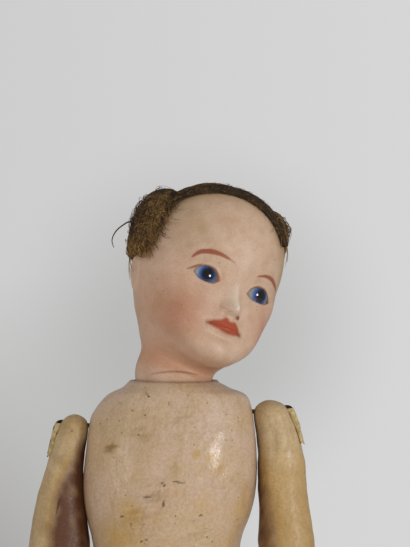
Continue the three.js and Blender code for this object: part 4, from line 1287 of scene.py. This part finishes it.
class DOLL_OT_legs(bpy.types.Operator):
    """One-piece legs with moulded shoes"""

    bl_idname = "doll.legs"
    bl_label = "Legs"

    def execute(self, context):
        colours = context.scene.doll_body
        paint = varnished_paper_pulp(
            "varnished_leg", colours.limb, colours.limb_aged, linear("#80602f"), 0.07)
        angle = circle(LIMB_AROUND)
        for side, name in SIDES:
            levels = LEG_LEVELS * [1, 1, 1, 1, side]
            grid = sections(limb_rows(levels), np.linspace(0, 15.9, LEG_RINGS), angle)
            depth = -0.15 * ripple(grid, 10, 71 + side)
            z = grid[..., 2]
            depth = depth + 0.35 * bell(z, 2.6, 0.5) + 0.4 * bell(z, 17.5, 0.6) - 0.3 * bell(z, 31, 0.9)
            depth = depth * smooth_step(z, 0.2, 2)
            grid = grid - ring_normals(grid) * depth[..., None]
            seat, axis = seat_of(side, "hip")
            grid = push_behind(grid, seat + HIP_GAP * axis, -axis, 0.4)
            soil = 0.5 * smooth_step(z, 3.2, 2.2) + 0.3 * smooth_step(ripple(grid, 9, 75 + side), 1.0, 1.9)
            fields = {"soil": np.clip(soil, 0, 0.8)}
            piece = skin_piece(name + "_papier_mache_leg", grid + MIDDLE, paint, fields)
            settle(piece, "leg_" + name, "limb_papier_mache", name + "_leg")
        return {"FINISHED"}


class DOLL_OT_fastenings(bpy.types.Operator):
    """Iron arm wires and the pasted paper strips over them"""

    bl_idname = "doll.fastenings"
    bl_label = "Shoulder fastenings"

    def execute(self, context):
        iron = plain_surface("blackened_iron_wire", "#2b2623", "#4a3628", 0.6, 0.55, 0.05, 0.8)
        paper = plain_surface("pasted_rag_paper", "#c2ae7e", "#9a8050", 1.4, 0.9, 0.12)
        for side, name in SIDES:
            lean = turn("y", -ARM_LEAN * side)
            seat = joint_place(name + "_shoulder")
            wire = tube_rings(curve_through(self.wire_route(side) * [side, 1, 1], 140), WIRE_RADIUS, 14)
            piece = skin_piece(name + "_iron_wire", wire @ lean.T + seat, iron)
            settle(piece, "arm_" + name, "iron_wire", name + "_arm_wire")
            strip = self.strip(side, *PAPER_STRIPS[side]) @ lean.T + seat
            piece = skin_piece(name + "_pasted_strip", strip, paper)
            settle(piece, "arm_" + name, "pasted_paper", name + "_paper_strip")
        return {"FINISHED"}

    def wire_route(self, side):
        """Wire: down the outside of the arm, over the bend, through the arm and bent back inside."""
        lifts = ((-12, 0.2), (-8, 0.5), (-4, 0.9), (-1.6, 1.1))
        outside = [[arm_outside(side, z) + lift, 0, z] for z, lift in lifts]
        return np.array([
            *outside, [arm_outside(side, 0) + 0.3, 0, 0],
            [6, 0, 0], [0, 0, 0], [-10.4, 0, 0], [-12, 1.6, 0], [-12, 6, 0],
            [-12, 7.6, -1.6], [-12, 7.6, -5.4],
        ])

    def strip(self, side, height, curl, foot):
        """Strip: paper arched over the wire from the arm in front of it to the arm behind it,
        wrinkled, its foot lifting away."""
        share = np.linspace(0, 1, 60)[:, None]
        z = -0.4 + (foot + 0.4) * share
        base = arm_outside(side, z) - 0.35 + curl * share ** 2.5
        height = height * (1 - 0.5 * share)
        arch = np.linspace(0, np.pi, 24)
        half = 2.2 + 0.5 * share + 0.15 * np.sin(8 * share)
        wall = 0.35
        bulge = np.sin(arch) ** 0.6
        outer, inner = (
            np.stack([base + (height - thin) * bulge, -(half - thin) * np.cos(arch), z + 0 * arch], -1)
            for thin in (0, wall))
        grid = np.concatenate([outer, inner[:, ::-1]], 1)
        grid[..., 0] += 0.14 * ripple(grid * [0.2, 1, 1], 2.2, 81 + side)
        grid[..., 2] += 0.35 * share * ripple(grid * [1, 1, 0.1], 1.4, 83 + side)
        return grid * [side, 1, 1]


class DOLL_OT_stringing(bpy.types.Operator):
    """Elastic cords and the fittings inside the body and head"""

    bl_idname = "doll.stringing"
    bl_label = "Stringing and inner fittings"

    def execute(self, context):
        finishes = {
            "eye_plaster": plain_surface("set_plaster", "#d8d2c6", "#c4bcae", 1.0, 0.9, 0.1),
            "crown_pate": plain_surface("cork_pate", "#a9825a", "#7d5a38", 1.2, 0.95, 0.3),
            "neck_button": plain_surface("turned_beech", "#b28f62", "#9a774c", 0.9, 0.6, 0.05),
            "neck_washer": plain_surface("kid_leather", "#8a6a4a", "#74563a", 0.5, 0.8, 0.1),
        }
        iron = plain_surface("hook_iron_wire", "#3a332e", "#54402f", 0.6, 0.5, 0.05, 0.8)
        for node in ("neck_hook", "right_leg_hook", "left_leg_hook"):
            finishes[node] = iron
        for node, finish in finishes.items():
            slots = frame["nodes"][node].data.materials
            slots.clear()
            slots.append(finish)
        elastic = plain_surface("woven_elastic", "#d9d0bd", "#bcae92", 0.4, 0.9, 0.15)
        self.cords(elastic)
        return {"FINISHED"}

    def cords(self, elastic):
        """Cords: each keeps the endless loop of its solid, slung round two wires. A leg's loop
        is cut into pieces at the hinges it crosses."""
        for name in ("right_leg_cord", "left_leg_cord", "arm_cord"):
            points = np.array([v.co for v in frame["nodes"][name].data.vertices]) / MM
            middle = points.mean(0)
            ahead, flat, _ = np.linalg.svd(points - middle, full_matrices=False)[2]
            ahead = ahead * np.sign(ahead @ [1, 0, 4])
            along = (points - middle) @ ahead
            foot = middle + (along.min() + CORD_BEND + 1) * ahead
            top = middle + (along.max() - CORD_BEND - 1) * ahead
            length = (top - foot) @ ahead
            if name == "arm_cord":
                halves = (
                    self.sling(top, ahead, flat, length / 2),
                    self.sling(foot, -ahead, -flat, length / 2),
                )
                route = np.concatenate([half[:-1] for half in halves])
                # It bows up a little, clear of the leg cords when the head nods
                route[:, 2] += 2.2 * bell(route[:, 0], middle[0], 12)
                piece = self.loop(name, route, elastic)
                settle(piece, "torso", "elastic_cord", name)
                continue
            high, low = top - 0.3 * length * ahead, foot + 0.35 * length * ahead
            strand = np.linspace(high, low, 24)
            leg = "leg_" + name.split("_")[0]
            neck = ("neck_washer_ring", "torso", high - ahead, low + ahead)
            parts = (
                ("foot", self.sling(foot, -ahead, flat, 0.35 * length),
                 "torso", leg, foot + 8 * ahead, foot + 2 * ahead),
                ("outer_strand", strand + CORD_BEND * flat, *neck),
                ("inner_strand", strand - CORD_BEND * flat, *neck),
                ("top", self.sling(top, ahead, flat, 0.3 * length),
                 "neck_stringing", "neck_washer_ring", top - 3 * ahead, high + ahead),
            )
            for part, path, first, second, begin, end in parts:
                piece = skin_piece(name + "_" + part, tube_rings(path, CORD_RADIUS, CORD_SIDES), elastic)
                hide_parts(name)
                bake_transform(piece)

    def sling(self, wire, way, flat, length):
        """Path of a cord round a wire: up one strand, half a circle and down the other."""
        bend = np.linspace(0, np.pi, 25)[:, None]
        back = np.linspace(length, 0, 12)[:-1, None]
        half_circle = wire + CORD_BEND * (np.cos(bend) * flat + np.sin(bend) * way)
        return np.concatenate([
            wire + CORD_BEND * flat - back * way, half_circle, wire - CORD_BEND * flat - back[::-1] * way])

    def loop(self, name, route, elastic):
        """Closed tube round a loop."""
        overlapped = np.concatenate([route[-2:], route, route[:2]])
        grid = tube_rings(overlapped, CORD_RADIUS, CORD_SIDES)[2:-2]
        index = np.arange(len(route) * CORD_SIDES).reshape(-1, CORD_SIDES)
        right, up = np.roll(index, -1, 1), np.roll(index, -1, 0)
        quads = np.stack([index, right, np.roll(right, -1, 0), up], -1).reshape(-1, 4)
        return new_piece(name + "_elastic", grid.reshape(-1, 3), quads.tolist(), {}, elastic)


class DOLL_OT_stage(bpy.types.Operator):
    """Pale floor, soft lamps, background and camera"""

    bl_idname = "doll.stage"
    bl_label = "Stage"

    def execute(self, context):
        settings = context.scene.doll_stage
        scene = context.scene
        scene.view_settings.view_transform = "Standard"
        self.floor()
        self.world(scene, settings.paper)
        for name, (place, size, share) in LAMPS.items():
            lamp = bpy.data.lights.new(name, "AREA")
            lamp.energy = share * settings.lamp
            lamp.size = size
            holder = bpy.data.objects.new(name, lamp)
            scene.collection.objects.link(holder)
            holder.location = place
            holder.visible_glossy = name != "front_fill"
            aim = np.array(place) - LAMP_AIM
            holder.rotation_euler = (
                float(np.arctan2(np.hypot(aim[0], aim[1]), aim[2])), 0, float(np.arctan2(aim[0], -aim[1])))
        camera = bpy.data.cameras.new("photo_camera")
        camera.lens = CAMERA_LENS
        camera.sensor_width = CAMERA_SENSOR
        holder = bpy.data.objects.new("photo_camera", camera)
        scene.collection.objects.link(holder)
        holder.location = MIDDLE * [MM, MM, 0] + CAMERA_PLACE
        holder.rotation_euler = (np.pi / 2, 0, 0)
        scene.camera = holder
        return {"FINISHED"}

    def floor(self):
        """Round floor: rings from the middle outwards at the height of the soles."""
        paper = plain_surface("studio_paper", "#d8d8d8", "#d2d2d2", 3, 0.9, 0.02)
        inwards = np.linspace(FLOOR_RADIUS - 1, 1, 24)
        radius = np.concatenate([[FLOOR_RADIUS - 10, FLOOR_RADIUS], inwards])[:, None]
        around = circle(96)
        height = np.where(np.arange(len(radius)) < 1, -3.0, -0.2)[:, None]
        grid = np.stack([radius * np.cos(around), radius * np.sin(around), height + 0 * around], -1)
        floor = skin_piece("studio_floor", grid, paper)

    def world(self, scene, paper):
        """Even light from all round, and the grey that the camera sees behind the doll, darker to the left
        and lower left as painted shade and close round the doll as a painted shadow.
        """
        world = bpy.data.worlds.new("studio")
        world.use_nodes = True
        scene.world = world
        tree = world.node_tree
        tree.nodes.clear()
        light = add(tree, "Background", {"Color": (1, 1, 1), "Strength": 0.6})[0]
        dull = add(tree, "Background", {"Color": (1, 1, 1), "Strength": 0.3})[0]
        towards = add(tree, "TexCoord")["Generated"]
        way = add(tree, "SeparateXYZ", {0: towards})
        # Painted shade: the grey darkens towards the left and the lower left
        across = add(tree, "MapRange", {"Value": way[0], "From Min": -0.08, "From Max": 0.08})[0]
        left = tuple(0.92 * c for c in paper)
        grey = add(tree, "Mix", {0: across, 6: left, 7: paper}, data_type="RGBA")[2]
        low = add(tree, "MapRange", {"Value": way[2], "From Min": 0.0, "From Max": -0.11})[0]
        sideways = {"From Min": 0.03, "From Max": -0.08, "To Max": 0.8}
        aside = add(tree, "MapRange", {"Value": way[0], **sideways})[0]
        dim = add(tree, "Math", {0: low, 1: aside}, operation="MULTIPLY")[0]
        grey = add(tree, "Mix", {0: dim, 6: grey, 7: linear("#a1a09e")}, data_type="RGBA")[2]
        # Painted shadow of the doll: the backdrop is a little darker close round it
        off = add(tree, "VectorMath", {0: towards, 1: (-0.004, 1.0, -0.022)}, operation="DISTANCE")["Value"]
        fading = {"From Min": 0.02, "From Max": 0.085, "To Min": 0.42, "To Max": 0.0}
        backdrop_shadow = add(tree, "MapRange", {"Value": off, **fading}, interpolation_type="SMOOTHSTEP")[0]
        grey = add(tree, "Mix", {0: backdrop_shadow, 6: grey, 7: linear("#949492")}, data_type="RGBA")[2]
        seen = add(tree, "Background", {"Color": grey, "Strength": 1.0})[0]
        path = add(tree, "LightPath")
        rays = {0: path["Is Camera Ray"], 1: path["Is Transmission Ray"]}
        direct = add(tree, "Math", rays, operation="MAXIMUM")[0]
        unseen = add(tree, "MixShader", {0: path["Is Glossy Ray"], 1: light, 2: dull})[0]
        both = add(tree, "MixShader", {0: direct, 1: unseen, 2: seen})[0]
        add(tree, "OutputWorld", {"Surface": both})


PIECES = (
    DOLL_OT_head,
    DOLL_OT_eyes,
    DOLL_OT_wig,
    DOLL_OT_torso,
    DOLL_OT_arms,
    DOLL_OT_legs,
    DOLL_OT_fastenings,
    DOLL_OT_stringing,
    DOLL_OT_stage,
)


class DOLL_PT_pieces(bpy.types.Panel):
    """List of the doll's pieces and their settings"""

    bl_idname = "DOLL_PT_pieces"
    bl_label = "Strung doll"
    bl_space_type = "VIEW_3D"
    bl_region_type = "UI"
    bl_category = "Doll"

    def draw(self, context):
        for piece in PIECES:
            self.layout.operator(piece.bl_idname)
        for group, kind in SETTINGS.items():
            for setting in kind.__annotations__:
                self.layout.prop(getattr(context.scene, group), setting)


def register():
    """Adds the settings, operators and panel."""
    for kind in (*SETTINGS.values(), *PIECES, DOLL_PT_pieces):
        bpy.utils.register_class(kind)
    for group, kind in SETTINGS.items():
        setattr(bpy.types.Scene, group, bpy.props.PointerProperty(type=kind))


def unregister():
    """Takes them out again."""
    for group in SETTINGS:
        delattr(bpy.types.Scene, group)
    for kind in reversed((*SETTINGS.values(), *PIECES, DOLL_PT_pieces)):
        bpy.utils.unregister_class(kind)


def main():
    """Builds every piece in order."""
    register()
    for piece in PIECES:
        getattr(bpy.ops.doll, piece.bl_idname.split(".")[1])()


if __name__ == "__main__":
    main()
